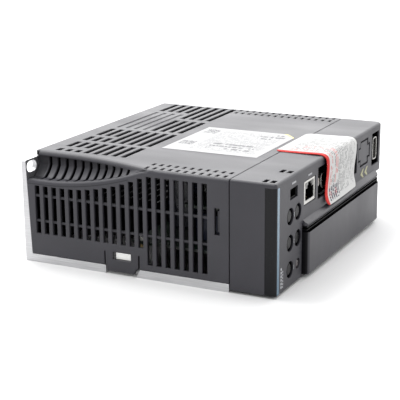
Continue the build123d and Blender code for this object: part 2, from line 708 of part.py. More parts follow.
with BuildPart() as encoder_connector_body:
    block(140.0, DEPTH - 4.4, NEAR + 152.6, NEAR + 164.8, BASE + 38.0, BASE + 57.2)
    block(
        DEPTH - 9.0, DEPTH, ENCODER_Y - 4.0, ENCODER_Y + 4.0, ENCODER_Z - 7.4, ENCODER_Z + 7.4,
        mode=Mode.SUBTRACT,
    )
    block(142.0, DEPTH - 3.0, ENCODER_Y - 1.4, ENCODER_Y + 1.4, ENCODER_Z - 5.0, ENCODER_Z + 5.0)

with BuildPart() as encoder_connector_shell:
    with BuildSketch(panel_plane(DEPTH - 8.8)):
        rectangles(((ENCODER_Y - 3.6, ENCODER_Y + 3.6, ENCODER_Z - 7.0, ENCODER_Z + 7.0),))
    extrude(amount=8.4)
    fillet(encoder_connector_shell.edges().filter_by(Axis.X), 2.0)
    offset(
        amount=-0.5,
        openings=encoder_connector_shell.faces().filter_by(Axis.X),
    )

# ---------------------------------------------------------------- painted marks
with BuildPart() as panel_arrows:
    for tip_y in (NEAR + 131.2, NEAR + 138.4):
        with BuildSketch(panel_plane(DEPTH)):
            with BuildLine():
                Polyline(
                    (tip_y, BASE + 36.6),
                    (tip_y + 4.2, BASE + 39.4),
                    (tip_y + 6.2, BASE + 39.4),
                    (tip_y + 3.6, BASE + 36.6),
                    (tip_y + 6.2, BASE + 33.9),
                    (tip_y + 4.2, BASE + 33.9),
                    close=True,
                )
            make_face()
        extrude(amount=0.12)

# ---------------------------------------------------------------- terminal door
with BuildPart() as terminal_door:
    block(DOOR_BACK_X, DOOR_X, DOOR_NEAR, DOOR_FAR, DOOR_Z0, DOOR_Z1)
    door_uprights = terminal_door.edges().filter_by(Axis.Z).group_by(Axis.X)[-1]
    fillet(door_uprights, 2.2)
    lower_edge = terminal_door.edges().filter_by(Axis.Y).group_by(Axis.Z)[0].sort_by(Axis.X)[-1]
    fillet(lower_edge, 1.6)
    block(
        DOOR_BACK_X - 1, DOOR_X - DOOR_WALL, DOOR_NEAR + DOOR_WALL, DOOR_FAR - DOOR_WALL,
        DOOR_Z0 - 1, DOOR_Z1 - DOOR_WALL, mode=Mode.SUBTRACT,
    )
    # finger groove along the upper edge
    block(
        DOOR_X - GRIP_DEPTH, DOOR_X + 1, DOOR_NEAR - 1, DOOR_FAR + 1,
        DOOR_GRIP_Z, DOOR_Z1 + 1, mode=Mode.SUBTRACT,
    )
    # hinge knuckles with webs to the door's front plate
    for ear_y, side in ((EAR_PLACES[0], 1), (EAR_PLACES[1], -1)):
        face_y = ear_y + EAR_THICK + 0.3 if side > 0 else ear_y - 0.3
        centre_y = face_y + side * KNUCKLE_LENGTH / 2
        with Locations(Location((HINGE_X, centre_y, HINGE_Z), (90, 0, 0))):
            Cylinder(KNUCKLE_R, KNUCKLE_LENGTH)
        block(
            HINGE_X, DOOR_X - DOOR_WALL + 0.2, centre_y - KNUCKLE_LENGTH / 2,
            centre_y + KNUCKLE_LENGTH / 2, HINGE_Z - 1.2, HINGE_Z + 2.0,
        )
        with Locations(Location((HINGE_X, centre_y, HINGE_Z), (90, 0, 0))):
            Cylinder(PIN_R + RUN_FIT, KNUCKLE_LENGTH + 1, mode=Mode.SUBTRACT)
        # room for the fixed ear in the door's front plate
        with Locations(Location((HINGE_X, ear_y + EAR_THICK / 2, HINGE_Z), (90, 0, 0))):
            Cylinder(EAR_R + 0.2, EAR_THICK + 0.6, mode=Mode.SUBTRACT)
        block(
            DOOR_BACK_X - 1, HINGE_X + EAR_R + 0.2, ear_y - 0.3, ear_y + EAR_THICK + 0.3,
            DOOR_Z0 - 1, HINGE_Z, mode=Mode.SUBTRACT,
        )

with BuildPart() as hinge_pins:
    for ear_y, side in ((EAR_PLACES[0], 1), (EAR_PLACES[1], -1)):
        pin_start = ear_y if side > 0 else ear_y + EAR_THICK
        pin_length = EAR_THICK + 0.3 + KNUCKLE_LENGTH
        with Locations(Location((HINGE_X, pin_start + side * pin_length / 2, HINGE_Z), (90, 0, 0))):
            Cylinder(PIN_R, pin_length)

# ---------------------------------------------------------------- power terminals
PLUGS = {
    "mains_plug": (NEAR + 49.4, NEAR + 80.0, 5),
    "link_plug": (NEAR + 84.4, NEAR + 110.0, 4),
    "motor_plug": (NEAR + 114.4, NEAR + 145.0, 5),
}
PLUG_Z0, PLUG_Z1 = BASE + 8.8, BASE + 26.2
PLUG_BACK, PLUG_FRONT = 140.0, 154.0

plugs = {}
for plug_name, (plug_y0, plug_y1, poles) in PLUGS.items():
    with BuildPart() as plug:
        block(PLUG_BACK, PLUG_FRONT, plug_y0, plug_y1, PLUG_Z0, PLUG_Z1)
        pole_pitch = (plug_y1 - plug_y0) / poles
        with BuildSketch(panel_plane(PLUG_FRONT)):
            for pole in range(poles):
                with Locations((plug_y0 + (pole + 0.5) * pole_pitch, PLUG_Z0 + 5.4)):
                    Circle(1.9)
        extrude(amount=-9, mode=Mode.SUBTRACT)
        with BuildSketch(panel_plane(PLUG_FRONT)):
            for pole in range(poles):
                with Locations((plug_y0 + (pole + 0.5) * pole_pitch, PLUG_Z0 + 12.6)):
                    Rectangle(2.6, 3.4)
        extrude(amount=-3, mode=Mode.SUBTRACT)
    plugs[plug_name] = plug

with BuildPart() as plug_levers:
    for plug_y0, plug_y1, poles in PLUGS.values():
        pole_pitch = (plug_y1 - plug_y0) / poles
        for pole in range(poles):
            lever_y = plug_y0 + (pole + 0.5) * pole_pitch
            block(
                PLUG_FRONT - 2.8, PLUG_FRONT + 0.8, lever_y - 1.1, lever_y + 1.1,
                PLUG_Z0 + 11.2, PLUG_Z0 + 14.0,
            )

with BuildPart() as terminal_headers:
    for plug_y0, plug_y1, poles in PLUGS.values():
        block(130.6, PLUG_BACK - 0.2, plug_y0, plug_y1, PLUG_Z0 + 1.0, PLUG_Z1)

# ---------------------------------------------------------------- label and tag
LABEL_THICK = 0.12

with BuildPart() as rating_label:
    with BuildSketch(deck_plane(TOP)):
        with BuildLine():
            Polyline(
                (63.6, NEAR + 49.0),
                (123.2, NEAR + 49.0),
                (123.2, NEAR + 104.6),
                (116.7, NEAR + 111.6),
                (63.6, NEAR + 111.6),
                close=True,
            )
        make_face()
    extrude(amount=LABEL_THICK)

TAG_THICK = 0.3
TAG_Y0, TAG_Y1 = NEAR + 68.4, NEAR + 119.0

with BuildPart() as paper_tag:
    with BuildSketch(end_plane(TAG_Y1)):
        with BuildLine():
            Line((125.8, TOP + 0.5), (151.0, TOP + 0.5))
            Bezier((151.0, TOP + 0.5), (156.6, TOP + 0.9), (158.2, TOP - 1.5), (157.8, TOP - 7.0))
            Bezier((157.8, TOP - 7.0), (157.2, BASE + 47.0), (156.2, BASE + 39.0), (159.1, BASE + 33.0))
        trace(line_width=TAG_THICK)
    extrude(amount=TAG_Y1 - TAG_Y0)

# ---------------------------------------------------------------- fan
FAN_Y0 = FAN_Y1 - FAN_THICK
FAN_MID = (FAN_Y0 + FAN_Y1) / 2

with BuildPart() as fan_frame:
    block(
        FAN_X - FAN_SIDE / 2, FAN_X + FAN_SIDE / 2, FAN_Y0, FAN_Y1,
        FAN_Z - FAN_SIDE / 2, FAN_Z + FAN_SIDE / 2,
    )
    with BuildSketch(end_plane(FAN_Y1 + 1)):
        with Locations((FAN_X, FAN_Z)):
            Circle(FAN_BORE_R)
        with Locations((FAN_X, FAN_Z)):
            with GridLocations(FAN_HOLE_SPACING, FAN_HOLE_SPACING, 2, 2):
                Circle(M3_R + RUN_FIT)
    extrude(amount=FAN_THICK + 2, mode=Mode.SUBTRACT)
    # motor mount on four struts, with the fixed spindle
    with BuildSketch(end_plane(FAN_Y0 + 2.0)):
        with Locations((FAN_X, FAN_Z)):
            Circle(FAN_HUB_R)
            Rectangle(2 * FAN_BORE_R + 1, 2.4)
            Rectangle(2.4, 2 * FAN_BORE_R + 1)
    extrude(amount=2.0)
    with BuildSketch(end_plane(FAN_Y0 + 11.0)):
        with Locations((FAN_X, FAN_Z)):
            Circle(FAN_SHAFT_R)
    extrude(amount=10.0)

with BuildPart() as fan_rotor:
    with BuildSketch(end_plane(FAN_Y1 - 1.4)):
        with Locations((FAN_X, FAN_Z)):
            Circle(FAN_HUB_R)
    extrude(amount=11.0)
    with BuildSketch(end_plane(FAN_Y0 + 11.4)):
        with Locations((FAN_X, FAN_Z)):
            Circle(FAN_SHAFT_R + RUN_FIT)
    extrude(amount=11.0, mode=Mode.SUBTRACT)
    # pitched blades, each a slanted plate from the hub to the tip circle
    blade_plane = Plane(origin=(FAN_X, FAN_MID + 0.6, FAN_Z), x_dir=(1, 0, 0), z_dir=(0, -1, 0))
    with Locations(blade_plane):
        with PolarLocations(0, FAN_BLADES):
            with Locations(Location((FAN_HUB_R + 4.4, 0, 0), (38, 0, 0))):
                Box(10.0, 9.0, 1.1)
    with Locations(Location((FAN_X, FAN_MID, FAN_Z), (90, 0, 0))):
        Cylinder(FAN_TIP_R, FAN_THICK, mode=Mode.INTERSECT)

with BuildPart() as fan_guard:
    with BuildSketch(end_plane(FAR - 0.4)):
        with Locations((FAN_X, FAN_Z)):
            for ring_r in (FAN_BORE_R - 0.2, 14.2, 9.6):
                Circle(ring_r)
                Circle(ring_r - 1.2, mode=Mode.SUBTRACT)
            Circle(5.0)
            Rectangle(2 * FAN_BORE_R - 0.8, 1.4)
            Rectangle(1.4, 2 * FAN_BORE_R - 0.8)
    extrude(amount=1.2)

# ---------------------------------------------------------------- screws
def screw_group(places, plane, head_r, head_height, shank_r, shank_length):
    """Screws standing on one plane: heads above it, shanks below, with a cross recess."""
    with BuildPart() as screws:
        with BuildSketch(plane):
            with Locations(*places):
                Circle(head_r)
        extrude(amount=head_height)
        with BuildSketch(plane):
            with Locations(*places):
                Circle(shank_r)
        extrude(amount=-shank_length)
        with BuildSketch(plane.offset(head_height)):
            with Locations(*places):
                Rectangle(head_r * 1.2, head_r * 0.3)
                Rectangle(head_r * 0.3, head_r * 1.2)
        extrude(amount=-head_height * 0.6, mode=Mode.SUBTRACT)
    return screws


half_spacing = FAN_HOLE_SPACING / 2
fan_corners = [(FAN_X + a * half_spacing, FAN_Z + b * half_spacing) for a in (-1, 1) for b in (-1, 1)]
far_outward = Plane(origin=(0, 0, 0), x_dir=(1, 0, 0), z_dir=(0, 1, 0))
far_places = [(x, -z) for x, z in EARTH_SCREWS]
fan_places = [(x, -z) for x, z in fan_corners]

earth_screws = screw_group(far_places, far_outward.offset(EARTH_FACE), 3.6, 2.4, M4_R, 5.0)
fan_screws = screw_group(fan_places, far_outward.offset(FAR - 1.3), 2.8, 1.2, M3_R, 12.0)
module_screws = screw_group(MODULE_SCREWS, deck_plane(MODULE_TOP), 2.8, 1.8, M3_R, 10.5)
board_screws = screw_group(STANDOFFS, deck_plane(POWER_Z + BOARD_THICK), 2.8, 1.8, M3_R, 6.0)

# ---------------------------------------------------------------- power stage
with BuildPart() as thermal_pads:
    block(82.0, 122.0, NEAR + 60.0, NEAR + 84.0, BASE + BASE_PLATE, BASE + BASE_PLATE + 0.3)
    block(90.0, 114.0, NEAR + 104.0, NEAR + 120.0, BASE + BASE_PLATE, BASE + BASE_PLATE + 0.3)
    with BuildSketch(deck_plane(BASE + BASE_PLATE)):
        with Locations(*MODULE_SCREWS):
            Circle(M3_R + 0.3)
    extrude(amount=1, mode=Mode.SUBTRACT)

with BuildPart() as power_module:
    block(82.0, 122.0, NEAR + 60.0, NEAR + 84.0, BASE + BASE_PLATE + 0.3, MODULE_TOP)
    with BuildSketch(deck_plane(BASE + BASE_PLATE)):
        with Locations(*MODULE_SCREWS[:2]):
            Circle(M3_R + FIT)
    extrude(amount=9, mode=Mode.SUBTRACT)

with BuildPart() as rectifier:
    block(90.0, 114.0, NEAR + 104.0, NEAR + 120.0, BASE + BASE_PLATE + 0.3, MODULE_TOP)
    with BuildSketch(deck_plane(BASE + BASE_PLATE)):
        with Locations(MODULE_SCREWS[2]):
            Circle(M3_R + FIT)
    extrude(amount=9, mode=Mode.SUBTRACT)

with BuildPart() as module_pins:
    for row_y in (NEAR + 61.5, NEAR + 82.5):
        for k in range(9):
            pin_x = 90.0 + k * 3.0
            block(pin_x - 0.4, pin_x + 0.4, row_y - 0.3, row_y + 0.3, MODULE_TOP, POWER_Z)
    for k in range(4):
        pin_x = 93.0 + k * 6.0
        block(pin_x - 0.5, pin_x + 0.5, NEAR + 105.2, NEAR + 106.0, MODULE_TOP, POWER_Z)

with BuildPart() as power_board:
    block(66.5, 128.0, NEAR + 8.0, NEAR + 158.0, POWER_Z, POWER_Z + BOARD_THICK)
    with BuildSketch(deck_plane(POWER_Z)):
        with Locations(*STANDOFFS):
            Circle(M3_R + FIT)
    extrude(amount=BOARD_THICK, mode=Mode.SUBTRACT)

with BuildPart() as board_standoffs:
    with BuildSketch(deck_plane(BASE + BASE_PLATE)):
        with Locations(*STANDOFFS):
            RegularPolygon(3.0, 6)
    extrude(amount=POWER_Z - BASE - BASE_PLATE)
    with BuildSketch(deck_plane(POWER_Z)):
        with Locations(*STANDOFFS):
            Circle(M3_R + RUN_FIT)
    extrude(amount=-8, mode=Mode.SUBTRACT)

COMPONENT_Z = POWER_Z + BOARD_THICK

with BuildPart() as bulk_capacitors:
    with BuildSketch(deck_plane(COMPONENT_Z)):
        with Locations((79.0, NEAR + 50.0), (79.0, NEAR + 75.0), (79.0, NEAR + 100.0)):
            Circle(11.0)
    extrude(amount=34.0)
    fillet(bulk_capacitors.edges().filter_by(GeomType.CIRCLE), 1.0)

with BuildPart() as line_choke:
    with Locations((80.0, NEAR + 130.0, COMPONENT_Z + 6.0)):
        Torus(8.0, 4.6)
    block(72.0, 88.0, NEAR + 122.0, NEAR + 138.0, COMPONENT_Z, COMPONENT_Z + 1.6)

with BuildPart() as inrush_relay:
    block(98.0, 116.0, NEAR + 24.0, NEAR + 36.0, COMPONENT_Z, COMPONENT_Z + 15.0)
    fillet(inrush_relay.edges().filter_by(Axis.Z), 0.8)

with BuildPart() as supply_transformer:
    block(100.0, 118.0, NEAR + 90.0, NEAR + 112.0, COMPONENT_Z, COMPONENT_Z + 3.0)
    block(102.0, 116.0, NEAR + 92.0, NEAR + 110.0, COMPONENT_Z + 3.0, COMPONENT_Z + 14.0)
    block(100.0, 118.0, NEAR + 90.0, NEAR + 112.0, COMPONENT_Z + 14.0, COMPONENT_Z + 16.0)

with BuildPart() as film_capacitor:
    block(100.0, 124.0, NEAR + 128.0, NEAR + 140.0, COMPONENT_Z, COMPONENT_Z + 15.0)
    fillet(film_capacitor.edges().filter_by(Axis.Z), 1.0)

# ---------------------------------------------------------------- control electronics
with BuildPart() as control_board:
    block(94.0, 137.4, NEAR + 16.0, NEAR + 164.0, CONTROL_Z, CONTROL_Z + BOARD_THICK)

with BuildPart() as control_chips:
    for chip_y, chip_side in ((NEAR + 50.0, 14.0), (NEAR + 84.0, 18.0), (NEAR + 120.0, 12.0)):
        block(
            112.0, 112.0 + chip_side, chip_y, chip_y + chip_side,
            CONTROL_Z + BOARD_THICK, CONTROL_Z + BOARD_THICK + 1.4,
        )

with BuildPart() as keypad_board:
    block(KEYPAD_X, KEYPAD_X + BOARD_THICK, NEAR + 9.0, NEAR + 34.0, BASE + 5.0, BASE + 47.0)

SWITCH_TIP = KEY_BACK_X - KEY_TRAVEL - 0.1

with BuildPart() as tact_switches:
    for key_y, key_z in KEY_PLACES.values():
        with BuildSketch(panel_plane(KEYPAD_X + BOARD_THICK)):
            with Locations((NEAR + key_y, BASE + key_z)):
                Rectangle(6.0, 6.0)
        extrude(amount=1.0)
        with BuildSketch(panel_plane(KEYPAD_X + BOARD_THICK)):
            with Locations((NEAR + key_y, BASE + key_z)):
                Circle(1.6)
        extrude(amount=SWITCH_TIP - KEYPAD_X - BOARD_THICK)

with BuildPart() as display_module:
    block(150.4, 153.6, NEAR + WALL + 0.2, NEAR + 7.0, BASE + 10.0, BASE + 52.0)

with BuildPart() as ribbon_cable:
    with BuildSketch(end_plane(NEAR + 30.0)):
        with BuildLine():
            Spline(
                (KEYPAD_X - 0.5, BASE + 22.0),
                (142.5, BASE + 26.0),
                (142.0, BASE + 36.0),
                (138.2, BASE + 40.2),
                tangents=((-1, 0), (-1, 0)),
            )
        trace(line_width=0.6)
    extrude(amount=12.0)

with BuildPart() as base_clip:
    block(58.9, 69.5, NEAR + WALL + 0.4, NEAR + 8.0, BASE + BASE_PLATE + 1.2, BASE + 12.3)

# ---------------------------------------------------------------- write
PIECES = {
    "heat_sink": heat_sink,
    "rear_casing": rear_casing,
    "front_casing": front_casing,
    "display_strip": display_strip,
    "accent_strip": accent_strip,
    "charge_lamp": charge_lamp,
    "service_port": service_port,
    "network_jack_shield": network_jack_shield,
    "network_jack_insert": network_jack_insert,
    "network_jack_contacts": network_jack_contacts,
    "signal_connector_body": signal_connector_body,
    "signal_connector_shell": signal_connector_shell,
    "signal_connector_latches": signal_connector_latches,
    "option_port_blank": option_port_blank,
    "encoder_connector_body": encoder_connector_body,
    "encoder_connector_shell": encoder_connector_shell,
    "panel_arrows": panel_arrows,
    "terminal_door": terminal_door,
    "hinge_pins": hinge_pins,
    "plug_levers": plug_levers,
    "terminal_headers": terminal_headers,
    "rating_label": rating_label,
    "paper_tag": paper_tag,
    "fan_frame": fan_frame,
    "fan_rotor": fan_rotor,
    "fan_guard": fan_guard,
    "fan_screws": fan_screws,
    "earth_screws": earth_screws,
    "module_screws": module_screws,
    "board_screws": board_screws,
    "thermal_pads": thermal_pads,
    "power_module": power_module,
    "rectifier": rectifier,
    "module_pins": module_pins,
    "power_board": power_board,
    "board_standoffs": board_standoffs,
    "bulk_capacitors": bulk_capacitors,
    "line_choke": line_choke,
    "inrush_relay": inrush_relay,
    "supply_transformer": supply_transformer,
    "film_capacitor": film_capacitor,
    "control_board": control_board,
    "control_chips": control_chips,
    "keypad_board": keypad_board,
    "tact_switches": tact_switches,
    "display_module": display_module,
    "ribbon_cable": ribbon_cable,
    "base_clip": base_clip,
    **keys,
    **plugs,
}
for name, piece in PIECES.items():
    piece.part.label = name
    export_step(piece.part, f"parts/{name}.step")
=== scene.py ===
import json
import math
import bmesh
import bpy
from mathutils import Matrix, Vector


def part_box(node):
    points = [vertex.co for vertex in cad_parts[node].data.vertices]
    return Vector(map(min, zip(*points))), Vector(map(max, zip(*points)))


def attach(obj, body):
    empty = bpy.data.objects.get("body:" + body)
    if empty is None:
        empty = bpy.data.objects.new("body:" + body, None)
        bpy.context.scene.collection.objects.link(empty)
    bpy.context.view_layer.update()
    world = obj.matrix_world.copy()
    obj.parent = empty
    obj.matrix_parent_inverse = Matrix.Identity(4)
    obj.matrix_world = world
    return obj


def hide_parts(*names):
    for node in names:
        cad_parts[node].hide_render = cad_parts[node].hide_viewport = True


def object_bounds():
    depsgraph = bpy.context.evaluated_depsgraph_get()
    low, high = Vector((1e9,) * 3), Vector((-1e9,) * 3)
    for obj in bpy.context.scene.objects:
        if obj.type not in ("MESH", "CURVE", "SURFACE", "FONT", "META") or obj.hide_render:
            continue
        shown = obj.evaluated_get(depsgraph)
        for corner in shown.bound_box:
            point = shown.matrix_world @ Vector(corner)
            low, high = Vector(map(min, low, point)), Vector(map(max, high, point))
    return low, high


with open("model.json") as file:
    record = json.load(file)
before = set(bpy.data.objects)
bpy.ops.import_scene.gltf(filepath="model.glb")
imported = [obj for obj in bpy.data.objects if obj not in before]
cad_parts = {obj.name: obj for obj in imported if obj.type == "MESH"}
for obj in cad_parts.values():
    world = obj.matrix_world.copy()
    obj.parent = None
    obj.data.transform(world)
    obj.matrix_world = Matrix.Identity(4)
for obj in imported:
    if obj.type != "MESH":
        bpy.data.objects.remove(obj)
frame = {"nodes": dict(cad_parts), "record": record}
cad_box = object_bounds()
NODES = frame["nodes"]
MM = 0.001
LOW, HIGH = cad_box

# Boxes of the CAD nodes that new pieces are placed from.
TAG_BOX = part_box("paper_tag")
LABEL_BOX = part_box("rating_label")
FRONT_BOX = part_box("front_casing")
JACK_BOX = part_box("network_jack_shield")
PORT_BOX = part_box("service_port")
DOOR_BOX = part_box("terminal_door")
PANEL_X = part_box("display_strip")[1].x
NEAR_Y = FRONT_BOX[0].y
FAR_Y = FRONT_BOX[1].y
BASE_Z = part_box("heat_sink")[0].z
CASE_TOP_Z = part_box("rear_casing")[1].z
BAY_X = DOOR_BOX[0].x - 1.2 * MM
BAY_TOP_Z = BASE_Z + 32.0 * MM

# The scoop's hollow: depth from the near top edge, how far its round corner reaches past that depth,
# and where it starts and stops narrowing in x.
SCOOP_DEPTH = 13.2 * MM
SCOOP_CORNER = 1.13
SCOOP_FLAT_X = 14.0 * MM
SCOOP_TIP_X = 81.2 * MM


# ------------------------------------------------------------------ node helpers
class Graph:
    """A material's node tree, with short calls for the nodes used here."""

    def __init__(self, name):
        self.material = bpy.data.materials.new(name)
        self.material.use_nodes = True
        self.nodes = self.material.node_tree.nodes
        self.links = self.material.node_tree.links
        self.shader = self.nodes["Principled BSDF"]
        self.place = self.nodes.new("ShaderNodeTexCoord").outputs["Object"]

    def feed(self, socket, value):
        if isinstance(value, bpy.types.NodeSocket):
            self.links.new(value, socket)
        elif isinstance(value, tuple) and len(value) == 3 and socket.type == "RGBA":
            socket.default_value = (*value, 1)
        else:
            socket.default_value = value

    def set(self, **inputs):
        for key, value in inputs.items():
            self.feed(self.shader.inputs[key.replace("_", " ")], value)

    def math(self, operation, a, b=0.0, clamp=False):
        node = self.nodes.new("ShaderNodeMath")
        node.operation = operation
        node.use_clamp = clamp
        self.feed(node.inputs[0], a)
        self.feed(node.inputs[1], b)
        return node.outputs[0]

    def mix(self, factor, a, b):
        node = self.nodes.new("ShaderNodeMix")
        node.data_type = "RGBA"
        self.feed(node.inputs["Factor"], factor)
        self.feed(node.inputs["A"], a)
        self.feed(node.inputs["B"], b)
        return node.outputs["Result"]

    def stretch(self, scale, vector=None):
        node = self.nodes.new("ShaderNodeVectorMath")
        node.operation = "MULTIPLY"
        self.feed(node.inputs[0], self.place if vector is None else vector)
        node.inputs[1].default_value = scale
        return node.outputs[0]

    def noise(self, scale, detail=2.0, vector=None, rough=0.5):
        node = self.nodes.new("ShaderNodeTexNoise")
        node.inputs["Scale"].default_value = scale
        node.inputs["Detail"].default_value = detail
        node.inputs["Roughness"].default_value = rough
        self.feed(node.inputs["Vector"], self.place if vector is None else vector)
        return node.outputs["Fac"]

    def ramp(self, value, low, high, out_low=0.0, out_high=1.0):
        node = self.nodes.new("ShaderNodeMapRange")
        self.feed(node.inputs["Value"], value)
        for key, number in (("From Min", low), ("From Max", high), ("To Min", out_low), ("To Max", out_high)):
            node.inputs[key].default_value = number
        return node.outputs[0]

    def split(self, vector):
        node = self.nodes.new("ShaderNodeSeparateXYZ")
        self.feed(node.inputs[0], vector)
        return node.outputs

    def bevel(self, radius, samples=4):
        node = self.nodes.new("ShaderNodeBevel")
        node.samples = samples
        node.inputs["Radius"].default_value = radius
        return node.outputs[0]

    def edge(self, rounded):
        """1 near an edge and 0 on a flat face: how far the rounded normal leaves the true one."""
        node = self.nodes.new("ShaderNodeVectorMath")
        node.operation = "DOT_PRODUCT"
        geometry = self.nodes.new("ShaderNodeNewGeometry")
        self.feed(node.inputs[0], rounded)
        self.feed(node.inputs[1], geometry.outputs["Normal"])
        return self.ramp(node.outputs["Value"], 0.99, 0.80)

    def bump(self, height, strength, distance, normal=None):
        node = self.nodes.new("ShaderNodeBump")
        node.inputs["Strength"].default_value = strength
        node.inputs["Distance"].default_value = distance
        self.feed(node.inputs["Height"], height)
        if normal is not None:
            self.feed(node.inputs["Normal"], normal)
        return node.outputs[0]

    def window(self, value, low, high):
        """1 where low < value < high."""
        return self.math(
            "MULTIPLY", self.math("GREATER_THAN", value, low), self.math("LESS_THAN", value, high)
        )

    def patch(self, u, v, u0, u1, v0, v1):
        return self.math("MULTIPLY", self.window(u, u0, u1), self.window(v, v0, v1))


# Light reaches deeper into the near end's slots, so their depth counts for less.
NEAR_END_LIGHT = 0.55


def scoop_size(g, x):
    """The scoop's depth at x."""
    run = g.ramp(x, SCOOP_FLAT_X, SCOOP_TIP_X)
    return g.math("MULTIPLY", g.math("SUBTRACT", 1.0, g.math("MULTIPLY", run, run)), SCOOP_DEPTH)


def case_depth(g):
    """How far a point lies below the casing's outer faces, the scoop's hollow and the terminal bay."""
    x, y, z = g.split(g.place)
    in_bay = g.math(
        "MULTIPLY", g.math("LESS_THAN", z, BAY_TOP_Z), g.math("GREATER_THAN", y, DOOR_BOX[0].y - 1.7 * MM)
    )
    front = g.math("SUBTRACT", PANEL_X, g.math("MULTIPLY", in_bay, PANEL_X - BAY_X))
    from_near = g.math("SUBTRACT", y, NEAR_Y)
    from_top = g.math("SUBTRACT", CASE_TOP_Z, z)
    outer = g.math("MINIMUM", g.math("SUBTRACT", front, x), g.math("SUBTRACT", FAR_Y, y))
    near_end = g.math("MULTIPLY", from_near, NEAR_END_LIGHT)
    outer = g.math("MINIMUM", outer, g.math("MINIMUM", near_end, from_top))
    hollow = scoop_size(g, x)
    radius = g.math("SQRT", g.math("ADD", g.math("POWER", from_near, 2.0), g.math("POWER", from_top, 2.0)))
    past_walls = g.math("SUBTRACT", g.math("MAXIMUM", from_near, from_top), hollow)
    past_corner = g.math("SUBTRACT", radius, g.math("MULTIPLY", hollow, SCOOP_CORNER))
    below_scoop = g.math("MAXIMUM", g.math("MAXIMUM", past_walls, past_corner), 0.0)
    return g.math("MINIMUM", outer, below_scoop)


def tint(color, factor):
    return tuple(min(1.0, channel * factor) for channel in color)


# ------------------------------------------------------------------ materials
DEEP_SHADOW = (0.002, 0.002, 0.0022)


def textured_plastic(
    name, color, roughness, grain=2600.0, grain_depth=0.05, wear=1.5, radius=0.35 * MM, shade=None, glow=0.0,
):
    """Moulded plastic: spark-eroded grain, faint mottling, rounded and slightly rubbed edges.

    shade(g) may return a factor for painted shade, which darkens the plastic inside its openings, and glow
    paints light into it as emission.
    """
    g = Graph(name)
    mottle = g.noise(38.0, 4.0)
    grain_noise = g.noise(grain, 3.0, rough=0.65)
    smear = g.noise(14.0, 3.0, g.stretch((1.0, 3.0, 1.0)))
    rounded = g.bevel(radius)
    body = g.mix(g.ramp(mottle, 0.35, 0.65), tint(color, 0.93), tint(color, 1.06))
    body = g.mix(g.ramp(grain_noise, 0.45, 0.75, 0.0, 0.35), body, tint(color, 1.25))
    body = g.mix(g.math("MULTIPLY", g.edge(rounded), 0.5), body, tint(color, wear))
    # Painted shade: where shade(g) falls to 0 the colour goes to DEEP_SHADOW and the specular fades with it.
    if shade:
        kept = shade(g)
        body = g.mix(kept, DEEP_SHADOW, body)
        g.set(Specular_IOR_Level=g.math("MULTIPLY", kept, 0.5))
    g.set(Base_Color=body, Roughness=g.ramp(smear, 0.3, 0.7, roughness - 0.05, roughness + 0.06))
    g.set(Normal=g.bump(grain_noise, 0.35, grain_depth * MM, rounded))
    # Painted light: glow makes the plastic emit its own colour, though it is no lamp.
    g.set(Emission_Color=color, Emission_Strength=glow)
    return g.material


def inside_case(g):
    """Painted shade: 1 on the casing's outer faces, falling to 0 inside its slots and openings."""
    return g.ramp(case_depth(g), 0.3 * MM, 1.3 * MM, 1.0, 0.0)


def casing_shade(g):
    """inside_case, plus painted shade at the back of the scoop and beside the back plate, and a painted
    shadow line along the lower rim.
    """
    x, y, z = g.split(g.place)
    from_near = g.math("SUBTRACT", y, NEAR_Y)
    from_top = g.math("SUBTRACT", CASE_TOP_Z, z)
    reach = g.math("ADD", scoop_size(g, x), 0.6 * MM)
    in_scoop = g.math("MULTIPLY", g.math("LESS_THAN", from_near, reach), g.math("LESS_THAN", from_top, reach))
    in_scoop = g.math("MULTIPLY", in_scoop, g.ramp(from_top, 1.6 * MM, 2.6 * MM))
    # Painted shade, deepest at the back of the scoop under its upper rim, and beside the back plate.
    gloom = g.math("MULTIPLY", g.ramp(from_near, 4.0 * MM, 12.0 * MM), g.ramp(from_top, 10.0 * MM, 2.5 * MM))
    beside_plate = g.math("MULTIPLY", g.ramp(x, 9.8 * MM, 9.2 * MM), g.ramp(from_near, 1.0 * MM, 2.5 * MM))
    gloom = g.math("MAXIMUM", g.math("MULTIPLY", gloom, 0.72), g.math("MULTIPLY", beside_plate, 0.6))
    # A painted shadow line just under the scoop's lower rim, on the near face.
    below_rim = g.math("SUBTRACT", from_top, scoop_size(g, x))
    near_face = g.math("LESS_THAN", from_near, 0.8 * MM)
    line = g.math("MULTIPLY", g.window(below_rim, 2.2 * MM, 2.8 * MM), near_face)
    line = g.math("MULTIPLY", line, g.math("LESS_THAN", x, SCOOP_TIP_X - 12 * MM))
    dimmed = g.math("MAXIMUM", g.math("MULTIPLY", in_scoop, gloom), g.math("MULTIPLY", line, 0.35))
    return g.math("MULTIPLY", inside_case(g), g.math("SUBTRACT", 1.0, dimmed))


def outside_case(g):
    """Painted shade: 0 on the parts of the heat sink that stand inside the casing, 1 on its outer faces."""
    x, y, z = g.split(g.place)
    inside = g.math("GREATER_THAN", z, BASE_Z + 5.2 * MM)
    inside = g.math("MULTIPLY", inside, g.math("GREATER_THAN", x, 6.5 * MM))
    inside = g.math("MULTIPLY", inside, g.window(y, NEAR_Y + 1.0 * MM, FAR_Y - 2.5 * MM))
    return g.math("SUBTRACT", 1.0, inside)


def jack_frame(g):
    """Painted shade: 1 on a port's steel border, falling inside the network jack's frame, where the jaws
    stand back.
    """
    _, y, z = g.split(g.place)
    inner = g.patch(
        y, z,
        JACK_BOX[0].y + 1.5 * MM, JACK_BOX[1].y - 1.1 * MM,
        JACK_BOX[0].z + 1.9 * MM, JACK_BOX[1].z - 1.0 * MM,
    )
    streak = g.ramp(g.noise(420.0, 2.0), 0.42, 0.60, 0.55, 1.0)
    return g.math("SUBTRACT", 1.0, g.math("MULTIPLY", inner, streak))


